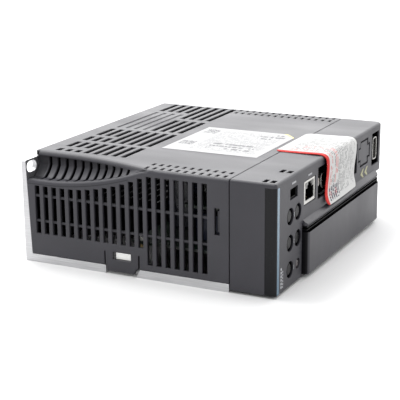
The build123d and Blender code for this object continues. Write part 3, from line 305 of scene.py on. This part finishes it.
def door_shade(g):
    """Painted shade in the finger groove along the door's upper edge, but for a thin lighter line, and at its
    near end.
    """
    _, y, z = g.split(g.place)
    groove = g.window(z, DOOR_BOX[1].z - 2.85 * MM, DOOR_BOX[1].z - 0.12 * MM)
    line = g.window(z, DOOR_BOX[1].z - 1.75 * MM, DOOR_BOX[1].z - 1.35 * MM)
    groove = g.math("SUBTRACT", groove, g.math("MULTIPLY", line, 0.22))
    near_end = g.ramp(y, DOOR_BOX[0].y + 0.3 * MM, DOOR_BOX[0].y + 0.8 * MM, 0.85, 0.0)
    return g.math("SUBTRACT", 1.0, g.math("MAXIMUM", groove, near_end))


def gloss_plastic(name, color, roughness=0.08, coat=0.6, radius=0.25 * MM, shine=0.5):
    """Polished plastic with faint streaks and dust in the coat."""
    g = Graph(name)
    streaks = g.noise(60.0, 4.0, g.stretch((1.0, 1.0, 0.15)))
    dust = g.noise(1900.0, 2.0)
    rounded = g.bevel(radius)
    body = g.mix(g.ramp(streaks, 0.3, 0.7), tint(color, 0.9), tint(color, 1.12))
    body = g.mix(g.ramp(dust, 0.72, 0.78, 0.0, 0.25), body, (0.35, 0.35, 0.36))
    g.set(Base_Color=body, Roughness=g.ramp(streaks, 0.35, 0.7, roughness, roughness + 0.08))
    g.set(Coat_Weight=coat, Coat_Roughness=0.04)
    g.set(Normal=g.bump(streaks, 0.08, 0.05 * MM, rounded))
    g.set(Specular_IOR_Level=shine)
    return g.material


def rubber(name, color, roughness=0.55, shine=0.5):
    """Soft key rubber: fine speckle and a worn, paler crown."""
    g = Graph(name)
    speckle = g.noise(3200.0, 2.0)
    cloud = g.noise(160.0, 3.0)
    rounded = g.bevel(0.4 * MM)
    body = g.mix(g.ramp(cloud, 0.35, 0.65), tint(color, 0.85), tint(color, 1.25))
    body = g.mix(g.math("MULTIPLY", g.edge(rounded), 0.4), body, tint(color, 2.2))
    g.set(Base_Color=body, Roughness=g.ramp(speckle, 0.3, 0.7, roughness - 0.08, roughness + 0.08))
    g.set(Normal=g.bump(speckle, 0.25, 0.03 * MM, rounded), Specular_IOR_Level=shine)
    return g.material


def drawn_metal(
    name, color, roughness, grain=(1.0, 60.0, 60.0), scale=55.0, wear=1.0, radius=0.3 * MM, shade=None,
):
    """Metal with lines drawn along one axis: grain stretches the noise across that axis."""
    g = Graph(name)
    lines = g.noise(scale, 5.0, g.stretch(grain), 0.6)
    stain = g.noise(24.0, 3.0)
    rounded = g.bevel(radius)
    body = g.mix(g.ramp(lines, 0.35, 0.65), tint(color, 0.80), color)
    body = g.mix(g.ramp(stain, 0.5, 0.75, 0.0, 0.22), body, tint(color, 0.70))
    body = g.mix(g.math("MULTIPLY", g.edge(rounded), 0.6), body, tint(color, 1.1 * wear))
    # Painted shade: where shade(g) falls to 0 the metal is painted near-black.
    if shade:
        body = g.mix(shade(g), tint(color, 0.06), body)
    g.set(Base_Color=body, Metallic=1.0)
    g.set(Roughness=g.ramp(lines, 0.3, 0.7, roughness - 0.06, roughness + 0.1))
    g.set(Normal=g.bump(lines, 0.25, 0.03 * MM, rounded))
    return g.material


def circuit_board(name, color):
    """Green solder mask with paler copper tracks and tinned pads."""
    g = Graph(name)
    grid = g.stretch((420.0, 420.0, 420.0))
    brick = g.nodes.new("ShaderNodeTexBrick")
    g.feed(brick.inputs["Vector"], grid)
    brick.inputs["Color1"].default_value = (*tint(color, 1.0), 1)
    brick.inputs["Color2"].default_value = (*tint(color, 1.35), 1)
    brick.inputs["Mortar"].default_value = (*tint(color, 0.7), 1)
    brick.inputs["Scale"].default_value = 1.0
    spots = g.nodes.new("ShaderNodeTexVoronoi")
    spots.inputs["Scale"].default_value = 330.0
    g.feed(spots.inputs["Vector"], g.place)
    pad = g.math("LESS_THAN", spots.outputs["Distance"], 0.16)
    g.set(Base_Color=g.mix(pad, brick.outputs["Color"], (0.20, 0.20, 0.19)))
    g.set(Metallic=g.math("MULTIPLY", pad, 0.8), Roughness=0.32, Coat_Weight=0.4)
    g.set(Normal=g.bump(pad, 0.3, 0.05 * MM, g.bevel(0.15 * MM)))
    return g.material


def text_rows(g, along, across, pitch, fill, letter, seed):
    """Mask of small print: rows across one axis, broken into word-like dashes along the other."""
    row = g.math("DIVIDE", across, pitch)
    inside = g.math("LESS_THAN", g.math("FRACT", row), fill)
    combine = g.nodes.new("ShaderNodeCombineXYZ")
    g.feed(combine.inputs[0], g.math("DIVIDE", along, letter))
    g.feed(combine.inputs[1], g.math("MULTIPLY", g.math("FLOOR", row), 7.31))
    combine.inputs[2].default_value = seed
    letters = g.math("GREATER_THAN", g.noise(1.0, 2.0, combine.outputs[0]), 0.46)
    words = g.math("GREATER_THAN", g.noise(0.16, 0.0, combine.outputs[0]), 0.38)
    return g.math("MULTIPLY", inside, g.math("MULTIPLY", letters, words))


# Areas printed on the label, in millimetres from its corner: x from, x to, y from, y to.
LABEL_WIDTH = (LABEL_BOX[1].x - LABEL_BOX[0].x) / MM
LABEL_LENGTH = (LABEL_BOX[1].y - LABEL_BOX[0].y) / MM
LABEL_FINE = (14.0, LABEL_WIDTH - 5.0, 6.0, LABEL_LENGTH - 6.0)
LABEL_BOLD = ((22.0, 50.0, 10.0, 27.0), (40.0, LABEL_WIDTH - 4.0, 44.0, 58.0))
LABEL_CODES = ((3.0, 12.0, 46.5, 57.5), (2.5, 11.5, 14.5, 24.0))
CODE_CELL = 0.55 * MM


def printed_label(name, color):
    """Rating label: rows of small grey marks, two code blocks and a yellow line on its cut corner."""
    g = Graph(name)
    x, y, _ = g.split(g.place)
    x = g.math("MULTIPLY", g.math("SUBTRACT", x, LABEL_BOX[0].x), 1 / MM)
    y = g.math("MULTIPLY", g.math("SUBTRACT", y, LABEL_BOX[0].y), 1 / MM)
    fine = text_rows(g, x, y, 2.3, 0.42, 0.55, 1.0)
    ink = g.math("MULTIPLY", g.math("MULTIPLY", fine, g.patch(x, y, *LABEL_FINE)), 0.6)
    bold = text_rows(g, x, y, 5.5, 0.5, 1.7, 4.0)
    bold_area = g.math("MAXIMUM", *(g.patch(x, y, *area) for area in LABEL_BOLD))
    ink = g.math("MAXIMUM", ink, g.math("MULTIPLY", g.math("MULTIPLY", bold, bold_area), 0.8))
    cell = g.nodes.new("ShaderNodeTexWhiteNoise")
    snap = g.nodes.new("ShaderNodeVectorMath")
    snap.operation = "SNAP"
    g.feed(snap.inputs[0], g.place)
    snap.inputs[1].default_value = (CODE_CELL, CODE_CELL, 1.0)
    g.feed(cell.inputs["Vector"], snap.outputs[0])
    code = g.math("GREATER_THAN", cell.outputs["Value"], 0.45)
    blocks = g.math("MAXIMUM", *(g.patch(x, y, *area) for area in LABEL_CODES))
    ink = g.math("MAXIMUM", ink, g.math("MULTIPLY", g.math("MULTIPLY", code, blocks), 0.85))
    paper = g.mix(g.ramp(g.noise(45.0, 3.0), 0.3, 0.7), tint(color, 0.96), tint(color, 1.04))
    corner = g.math("ADD", g.math("SUBTRACT", x, LABEL_WIDTH), g.math("SUBTRACT", y, LABEL_LENGTH))
    stripe = g.window(corner, -9.2, -6.3)
    paper = g.mix(g.math("MULTIPLY", stripe, 0.7), paper, (0.85, 0.74, 0.22))
    g.set(Base_Color=g.mix(ink, paper, (0.10, 0.10, 0.11)), Roughness=0.5, Specular_IOR_Level=0.2)
    g.set(Normal=g.bump(g.noise(900.0, 2.0), 0.08, 0.03 * MM))
    return g.material


def printed_tag(name, color):
    """Paper tag read through its UV map in millimetres: red edge strip, rows of small print, dark marks."""
    g = Graph(name)
    uv = g.nodes.new("ShaderNodeTexCoord").outputs["UV"]
    along, across, _ = g.split(g.stretch((TAG_LENGTH, TAG_WIDTH, 0.0), uv))
    red = (0.60, 0.04, 0.035)
    fine = text_rows(g, along, across, 2.1, 0.46, 0.8, 2.0)
    area = g.patch(along, across, 6.0, TAG_LENGTH - 3.0, 6.0, TAG_WIDTH - 3.0)
    fade = g.ramp(across, 14.0, TAG_WIDTH - 4.0, 1.0, 0.5)
    ink = g.math("MULTIPLY", g.math("MULTIPLY", fine, area), fade)
    shade = g.mix(0.85, color, (0.08, 0.08, 0.09))
    rows_red = g.math("MAXIMUM", g.window(across, 5.8, 9.2), g.window(across, 13.8, 18.2))
    shade = g.mix(rows_red, shade, g.mix(0.85, color, red))
    paper = g.mix(g.ramp(g.noise(70.0, 4.0), 0.3, 0.7), tint(color, 0.97), tint(color, 1.02))
    body = g.mix(ink, paper, shade)
    marks = text_rows(g, along, across, 3.0, 0.62, 1.3, 6.0)
    mark_area = g.patch(along, across, TAG_LENGTH - 9.5, TAG_LENGTH - 1.5, 5.5, 22.0)
    body = g.mix(g.math("MULTIPLY", g.math("MULTIPLY", marks, mark_area), 0.8), body, (0.03, 0.03, 0.06))
    body = g.mix(g.math("LESS_THAN", across, TAG_STRIP), body, red)
    fibre = g.noise(1400.0, 4.0)
    g.set(Base_Color=body, Roughness=g.ramp(fibre, 0.3, 0.7, 0.5, 0.65), Specular_IOR_Level=0.1)
    g.set(Normal=g.bump(fibre, 0.12, 0.03 * MM))
    return g.material


def lit_strip(name, low_color, high_color, z0, z1):
    """Accent strip: darker at the heat-sink side, paler at the label side."""
    g = Graph(name)
    z = g.split(g.place)[2]
    height = g.ramp(z, z0, z1)
    shimmer = g.noise(200.0, 2.0)
    body = g.mix(height, low_color, high_color)
    body = g.mix(g.ramp(shimmer, 0.4, 0.7, 0.0, 0.2), body, tint(high_color, 1.2))
    g.set(Base_Color=body, Roughness=0.22, Coat_Weight=0.5)
    g.set(Normal=g.bump(shimmer, 0.05, 0.03 * MM, g.bevel(0.2 * MM)))
    return g.material


def floor_material():
    """Pale floor that bounces less light onto the drive than the camera sees of it."""
    g = Graph("studio_floor")
    cloud = g.noise(2.2, 3.0)
    seen = g.nodes.new("ShaderNodeLightPath").outputs["Is Camera Ray"]
    pale = g.mix(g.ramp(cloud, 0.3, 0.7), (0.90, 0.90, 0.905), (0.93, 0.93, 0.93))
    g.set(Base_Color=g.mix(seen, (0.66, 0.66, 0.66), pale))
    g.set(Roughness=0.7)
    return g.material


# ------------------------------------------------------------------ mesh helpers
def mesh_object(name, vertices, faces, body="chassis", smooth=False):
    mesh = bpy.data.meshes.new(name)
    mesh.from_pydata(vertices, [], faces)
    mesh.update()
    for polygon in mesh.polygons:
        polygon.use_smooth = smooth
    piece = bpy.data.objects.new(name, mesh)
    bpy.context.scene.collection.objects.link(piece)
    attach(piece, body)
    return piece


def finish_with(piece, material):
    piece.data.materials.clear()
    piece.data.materials.append(material)
    return piece


# ------------------------------------------------------------------ paper tag
# The tag in millimetres: red strip, thickness, corner radius, and how far its hanging part bulges and
# twists. Then the columns of its grid.
TAG_STRIP = 4.0
TAG_THICK = 0.22
TAG_CORNER = 4.0
TAG_BULGE = 0.30
TAG_TWIST = 0.35
TAG_COLUMNS = 40


def tag_path():
    """The tag's middle line in (x, z), from its edge on the label side to its free end on the ledge."""
    x0, x1 = TAG_BOX[0].x / MM, TAG_BOX[1].x / MM
    z0, z1 = TAG_BOX[0].z / MM, TAG_BOX[1].z / MM
    edge_x = PANEL_X / MM
    keys = [
        (x0 + 0.2, z1 - 0.55), (x0 + 9, z1 - 0.50), (x0 + 19, z1 - 0.30), (edge_x - 2.5, z1 - 0.22),
        (edge_x + 0.9, z1 - 2.0), (x1 - 1.55, z1 - 6.2), (x1 - 1.75, z1 - 12.0), (x1 - 2.35, z1 - 18.0),
        (x1 - 2.45, z0 + 6.5), (x1 - 1.6, z0 + 3.0), (x1 - 0.45, z0 + 0.35),
    ]
    return smooth_path(keys, 9)


def smooth_path(keys, steps):
    """Catmull-Rom points through the keys."""
    points = []
    padded = [keys[0]] + keys + [keys[-1]]
    for a, b, c, d in zip(padded, padded[1:], padded[2:], padded[3:]):
        for i in range(steps):
            t = i / steps
            points.append(tuple(
                0.5 * (
                    2 * q + (r - p) * t
                    + (2 * p - 5 * q + 4 * r - s) * t * t
                    + (3 * q - p - 3 * r + s) * t ** 3
                )
                for p, q, r, s in zip(a, b, c, d)
            ))
    points.append(keys[-1])
    return points


TAG_LINE = tag_path()
TAG_LENGTH = sum(math.dist(a, b) for a, b in zip(TAG_LINE, TAG_LINE[1:]))
TAG_WIDTH = (TAG_BOX[1].y - TAG_BOX[0].y) / MM


def build_tag():
    """A thin curved sheet with round corners, a slight wave across its width and UVs for its print."""
    y0 = TAG_BOX[0].y / MM
    grid, uvs = [], []
    travelled = 0.0
    for i, (x, z) in enumerate(TAG_LINE):
        if i:
            travelled += math.dist(TAG_LINE[i - 1], TAG_LINE[i])
        u = travelled / TAG_LENGTH
        from_end = min(travelled, TAG_LENGTH - travelled)
        reach = max(0.0, TAG_CORNER - from_end)
        trim = TAG_CORNER - math.sqrt(max(0.0, TAG_CORNER ** 2 - reach ** 2))
        hang = max(0.0, min(1.0, (u - 0.45) / 0.3))
        row = []
        for j in range(TAG_COLUMNS + 1):
            y = trim + j / TAG_COLUMNS * (TAG_WIDTH - 2 * trim)
            wave = TAG_BULGE * hang * math.sin(math.pi * y / TAG_WIDTH)
            wave += TAG_TWIST * hang * (1 - 2 * y / TAG_WIDTH)
            row.append(((x + wave - TAG_TWIST * hang) * MM, (y0 + y) * MM, z * MM))
            uvs.append((u, y / TAG_WIDTH))
        grid.append(row)
    vertices = [p for row in grid for p in row]
    width = TAG_COLUMNS + 1
    faces = [
        (i * width + j, i * width + j + 1, (i + 1) * width + j + 1, (i + 1) * width + j)
        for i in range(len(grid) - 1)
        for j in range(TAG_COLUMNS)
    ]
    piece = mesh_object("tag_sheet", vertices, faces, smooth=True)
    layer = piece.data.uv_layers.new(name="print")
    for loop in piece.data.loops:
        layer.data[loop.index].uv = uvs[loop.vertex_index]
    solid = piece.modifiers.new("thickness", "SOLIDIFY")
    solid.thickness = TAG_THICK * MM
    solid.offset = 0.0
    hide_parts("paper_tag")
    return finish_with(piece, printed_tag("tag_paper", (0.64, 0.64, 0.635)))


# ------------------------------------------------------------------ panel print
# Printed bars in millimetres from the panel's near base corner: the rows over the two near ports, the
# ticks between the keys, and two columns at the corner as y, lowest z, step and bar size.
PORT_MARK_Z = 57.6
JACK_MARK_Z = 56.7
PORT_MARK_STEP = 1.4
PORT_MARK_SIZE = (0.9, 1.0)
KEY_TICK_Y = 24.6
KEY_TICK_Z = (40.0, 25.3, 10.6)
KEY_TICK_SIZE = (0.35, 2.4)
CORNER_COLUMNS = ((7.2, 4.6, 2.0, (1.3, 1.3)), (9.4, 4.2, 1.7, (0.8, 1.0)))
CORNER_ROWS = 6
BAR_THICK = 0.03 * MM


def add_bar(mesh, centre, size):
    """A thin printed bar on the panel, centre and size in (y, z) millimetres from the near base corner."""
    place = (PANEL_X + BAR_THICK / 2, NEAR_Y + centre[0] * MM, BASE_Z + centre[1] * MM)
    shape = Matrix.Diagonal((BAR_THICK, size[0] * MM, size[1] * MM, 1))
    bmesh.ops.create_cube(mesh, size=1.0, matrix=Matrix.Translation(place) @ shape)


def build_panel_print():
    """Small generic marks: bars by the ports and ticks by the keys. There is no lettering."""
    mesh = bmesh.new()
    port_y = (PORT_BOX[0].y + PORT_BOX[1].y) / 2 / MM - NEAR_Y / MM
    jack_y = (JACK_BOX[0].y + JACK_BOX[1].y) / 2 / MM - NEAR_Y / MM
    for k in (-1.5, -0.5, 0.5, 1.5):
        add_bar(mesh, (port_y + k * PORT_MARK_STEP, PORT_MARK_Z), PORT_MARK_SIZE)
        add_bar(mesh, (jack_y + k * PORT_MARK_STEP, JACK_MARK_Z), PORT_MARK_SIZE)
    for tick_z in KEY_TICK_Z:
        add_bar(mesh, (KEY_TICK_Y, tick_z), KEY_TICK_SIZE)
    for k in range(CORNER_ROWS):
        for column_y, low_z, step, size in CORNER_COLUMNS:
            add_bar(mesh, (column_y, low_z + step * k), size)
    data = bpy.data.meshes.new("panel_print")
    mesh.to_mesh(data)
    mesh.free()
    piece = bpy.data.objects.new("panel_print", data)
    bpy.context.scene.collection.objects.link(piece)
    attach(piece, "chassis")
    return finish_with(piece, gloss_plastic("print_white", (0.62, 0.63, 0.66), 0.4, 0.0))


OUTLINE_WIDTH = 0.75 * MM
OUTLINE_LIFT = 0.02 * MM


def build_blank_outline():
    """The joint's shade around the option port's blank, painted as a thin dark ring just inside its border.
    """
    mesh = bmesh.new()
    mesh.from_mesh(NODES["option_port_blank"].data)
    front_x = max(vertex.co.x for vertex in mesh.verts)
    behind = [face for face in mesh.faces if min(v.co.x for v in face.verts) < front_x - 0.01 * MM]
    bmesh.ops.delete(mesh, geom=behind, context="FACES")
    bmesh.ops.remove_doubles(mesh, verts=mesh.verts, dist=0.001 * MM)
    front = list(mesh.faces)
    bmesh.ops.inset_region(
        mesh, faces=front, thickness=OUTLINE_WIDTH, use_boundary=True, use_even_offset=True,
    )
    bmesh.ops.delete(mesh, geom=front, context="FACES")
    bmesh.ops.translate(mesh, verts=mesh.verts, vec=(OUTLINE_LIFT, 0, 0))
    data = bpy.data.meshes.new("blank_outline")
    mesh.to_mesh(data)
    mesh.free()
    piece = bpy.data.objects.new("blank_outline", data)
    bpy.context.scene.collection.objects.link(piece)
    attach(piece, "chassis")
    # Painted shade: a black sheet over the joint, where there is only shade in the gap.
    joint_shade_black = gloss_plastic("joint_shade_black", (0.006, 0.006, 0.008), 0.6, 0.0, shine=0.05)
    return finish_with(piece, joint_shade_black)


# ------------------------------------------------------------------ carried-over nodes
def paint_nodes():
    """Gives every CAD node its material."""
    strip_z = (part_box("accent_strip")[0].z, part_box("accent_strip")[1].z)
    paints = {
        # Painted shade on the heat sink's fins inside the casing.
        "bare_aluminium": drawn_metal("bare_aluminium", (0.80, 0.80, 0.815), 0.36, shade=outside_case),
        # Painted shade in the casing's slots, in the scoop and under its lower rim.
        "casing_grey": textured_plastic(
            "casing_grey", (0.044, 0.043, 0.052), 0.40, radius=1.0 * MM, shade=casing_shade,
        ),
        # Painted shade inside the panel's openings.
        "front_grey": textured_plastic("front_grey", (0.040, 0.039, 0.048), 0.40, shade=inside_case),
        # Painted shade in the door's finger groove and at its near end.
        "door_grey": textured_plastic(
            "door_grey", (0.052, 0.051, 0.060), 0.34, grain_depth=0.03, shade=door_shade,
        ),
        "window_black": gloss_plastic("window_black", (0.004, 0.004, 0.006), 0.12, 0.0, shine=0.3),
        "accent_blue": lit_strip("accent_blue", (0.08, 0.17, 0.26), (0.17, 0.27, 0.36), *strip_z),
        "key_black": rubber("key_black", (0.004, 0.004, 0.005), 0.28, 0.22),
        "lamp_red": gloss_plastic("lamp_red", (0.055, 0.045, 0.048), 0.18),
        # Painted shade inside the network jack's frame.
        "port_steel": drawn_metal(
            "port_steel", (0.74, 0.73, 0.70), 0.24, (1.0, 4.0, 4.0), 240.0, shade=jack_frame,
        ),
        # Painted shade where the connectors sit recessed in the panel.
        "connector_black": textured_plastic(
            "connector_black", (0.010, 0.010, 0.011), 0.42, shade=inside_case,
        ),
        "contact_gold": drawn_metal("contact_gold", (0.80, 0.62, 0.30), 0.22, (4.0, 1.0, 4.0), 300.0),
        "mark_yellow": textured_plastic("mark_yellow", (0.42, 0.41, 0.25), 0.5, wear=1.1),
        "pin_steel": drawn_metal("pin_steel", (0.42, 0.42, 0.43), 0.28, (8.0, 1.0, 8.0), 300.0),
        "plug_green": textured_plastic("plug_green", (0.015, 0.11, 0.035), 0.42),
        "lever_orange": textured_plastic("lever_orange", (0.62, 0.13, 0.01), 0.40),
        "header_black": textured_plastic("header_black", (0.015, 0.015, 0.016), 0.45),
        "label_silver": printed_label("label_silver", (0.52, 0.52, 0.525)),
        "tag_paper": rubber("tag_paper_core", (0.86, 0.86, 0.85)),
        "fan_black": textured_plastic("fan_black", (0.014, 0.014, 0.015), 0.38),
        "screw_zinc": drawn_metal("screw_zinc", (0.70, 0.70, 0.66), 0.30, (3.0, 1.0, 3.0), 260.0),
        "pad_grey": rubber("pad_grey", (0.25, 0.28, 0.33), 0.7),
        "module_black": textured_plastic("module_black", (0.02, 0.02, 0.022), 0.5),
        "pcb_green": circuit_board("pcb_green", (0.004, 0.016, 0.008)),
        "standoff_brass": drawn_metal("standoff_brass", (0.22, 0.17, 0.09), 0.25, (6.0, 6.0, 1.0), 200.0),
        "capacitor_sleeve": gloss_plastic("capacitor_sleeve", (0.015, 0.017, 0.03), 0.2),
        "choke_core": drawn_metal("choke_core", (0.18, 0.08, 0.03), 0.35, (1.0, 1.0, 8.0), 420.0),
        "relay_blue": gloss_plastic("relay_blue", (0.008, 0.014, 0.045), 0.3, 0.1),
        "transformer_tape": gloss_plastic("transformer_tape", (0.05, 0.04, 0.015), 0.3, 0.1),
        "film_grey": gloss_plastic("film_grey", (0.05, 0.052, 0.06), 0.3, 0.1),
        "chip_black": textured_plastic("chip_black", (0.016, 0.016, 0.018), 0.5),
        "display_red": gloss_plastic("display_red", (0.05, 0.006, 0.006), 0.2),
        "cable_grey": rubber("cable_grey", (0.28, 0.28, 0.29), 0.5),
        # Painted light: clip_white glows by emission so it looks bright inside the latch window.
        "clip_white": textured_plastic("clip_white", (0.86, 0.86, 0.84), 0.45, wear=1.05, glow=0.45),
    }
    slots = {row["node"]: row["material_slot"] for row in frame["record"]["subparts"]}
    for name, node in NODES.items():
        node.data.materials.clear()
        node.data.materials.append(paints[slots[name]])


# ------------------------------------------------------------------ stage, light and camera
FLOOR_SIZE = 6.0
# The sky's strength all round, and glows on top of it: direction, where along it each starts and is
# full, and its added strength.
FRONT_GLOW = 0.64
SKY_GLOWS = (
    ((0.0, 0.0, 1.0), 0.0, 0.9, 0.48),
    ((-0.45, 0.88, 0.20), 0.3, 0.95, 1.85),
)
# Soft boxes aimed at the drive's middle: name, place and side in metres, power in watts.
LAMPS = (
    ("overhead", (-0.28, -0.06, 0.80), 0.35, 3.0),
    ("right", (0.95, 0.25, 0.45), 0.5, 0.6),
)


def build_stage():
    bpy.ops.mesh.primitive_plane_add(size=FLOOR_SIZE, location=(0.08, 0, BASE_Z - 0.02 * MM))
    floor = bpy.context.object
    floor.name = "floor"
    floor.data.materials.append(floor_material())


def soft_box(name, place, side, power):
    lamp = bpy.data.lights.new(name, "AREA")
    lamp.shape = "RECTANGLE"
    lamp.size = lamp.size_y = side
    lamp.energy = power
    holder = bpy.data.objects.new(name, lamp)
    holder.location = place
    holder.rotation_mode = "QUATERNION"
    holder.rotation_quaternion = ((LOW + HIGH) / 2 - Vector(place)).to_track_quat("-Z", "Y")
    bpy.context.scene.collection.objects.link(holder)


def build_light():
    world = bpy.data.worlds.new("studio")
    bpy.context.scene.world = world
    world.use_nodes = True
    nodes, links = world.node_tree.nodes, world.node_tree.links
    sky = nodes.new("ShaderNodeTexCoord").outputs["Generated"]
    strength = FRONT_GLOW
    for direction, start, end, glow in SKY_GLOWS:
        toward = nodes.new("ShaderNodeVectorMath")
        toward.operation = "DOT_PRODUCT"
        toward.inputs[1].default_value = Vector(direction).normalized()
        links.new(sky, toward.inputs[0])
        rise = nodes.new("ShaderNodeMapRange")
        rise.interpolation_type = "SMOOTHSTEP"
        for key, number in (("From Min", start), ("From Max", end), ("To Min", 0.0), ("To Max", glow)):
            rise.inputs[key].default_value = number
        links.new(toward.outputs["Value"], rise.inputs["Value"])
        total = nodes.new("ShaderNodeMath")
        total.operation = "ADD"
        links.new(rise.outputs[0], total.inputs[0])
        if isinstance(strength, float):
            total.inputs[1].default_value = strength
        else:
            links.new(strength, total.inputs[1])
        strength = total.outputs[0]
    path = nodes.new("ShaderNodeLightPath")
    seen = nodes.new("ShaderNodeMix")
    links.new(path.outputs["Is Camera Ray"], seen.inputs["Factor"])
    links.new(strength, seen.inputs["A"])
    seen.inputs["B"].default_value = 1.0
    links.new(seen.outputs["Result"], nodes["Background"].inputs["Strength"])
    nodes["Background"].inputs["Color"].default_value = (1.0, 1.0, 1.0, 1)
    for lamp in LAMPS:
        soft_box(*lamp)


# Camera in millimetres from the rear corner of the near end's base edge.
CAMERA_PLACE = (377.23, -527.67, 214.25)
CAMERA_AZIMUTH = 26.636
CAMERA_ELEVATION = 15.633
CAMERA_ROLL = -0.525
CAMERA_LENS = 105.1
SENSOR = 36.0


def build_camera():
    data = bpy.data.cameras.new("photo_angle")
    data.sensor_width = SENSOR
    data.lens = CAMERA_LENS
    data.clip_start, data.clip_end = 0.02, 20.0
    camera = bpy.data.objects.new("photo_angle", data)
    bpy.context.scene.collection.objects.link(camera)
    turn, tilt = math.radians(CAMERA_AZIMUTH), math.radians(CAMERA_ELEVATION)
    back = Vector((math.sin(turn) * math.cos(tilt), -math.cos(turn) * math.cos(tilt), math.sin(tilt)))
    camera.rotation_mode = "QUATERNION"
    level = (-back).to_track_quat("-Z", "Y")
    roll = Matrix.Rotation(math.radians(CAMERA_ROLL), 4, "Z").to_quaternion()
    camera.rotation_quaternion = level @ roll
    camera.location = Vector((0.0, NEAR_Y, BASE_Z)) + Vector(CAMERA_PLACE) * MM
    bpy.context.scene.camera = camera


paint_nodes()
build_tag()
build_panel_print()
build_blank_outline()
build_stage()
build_light()
build_camera()
bpy.context.scene.view_settings.view_transform = "Standard"
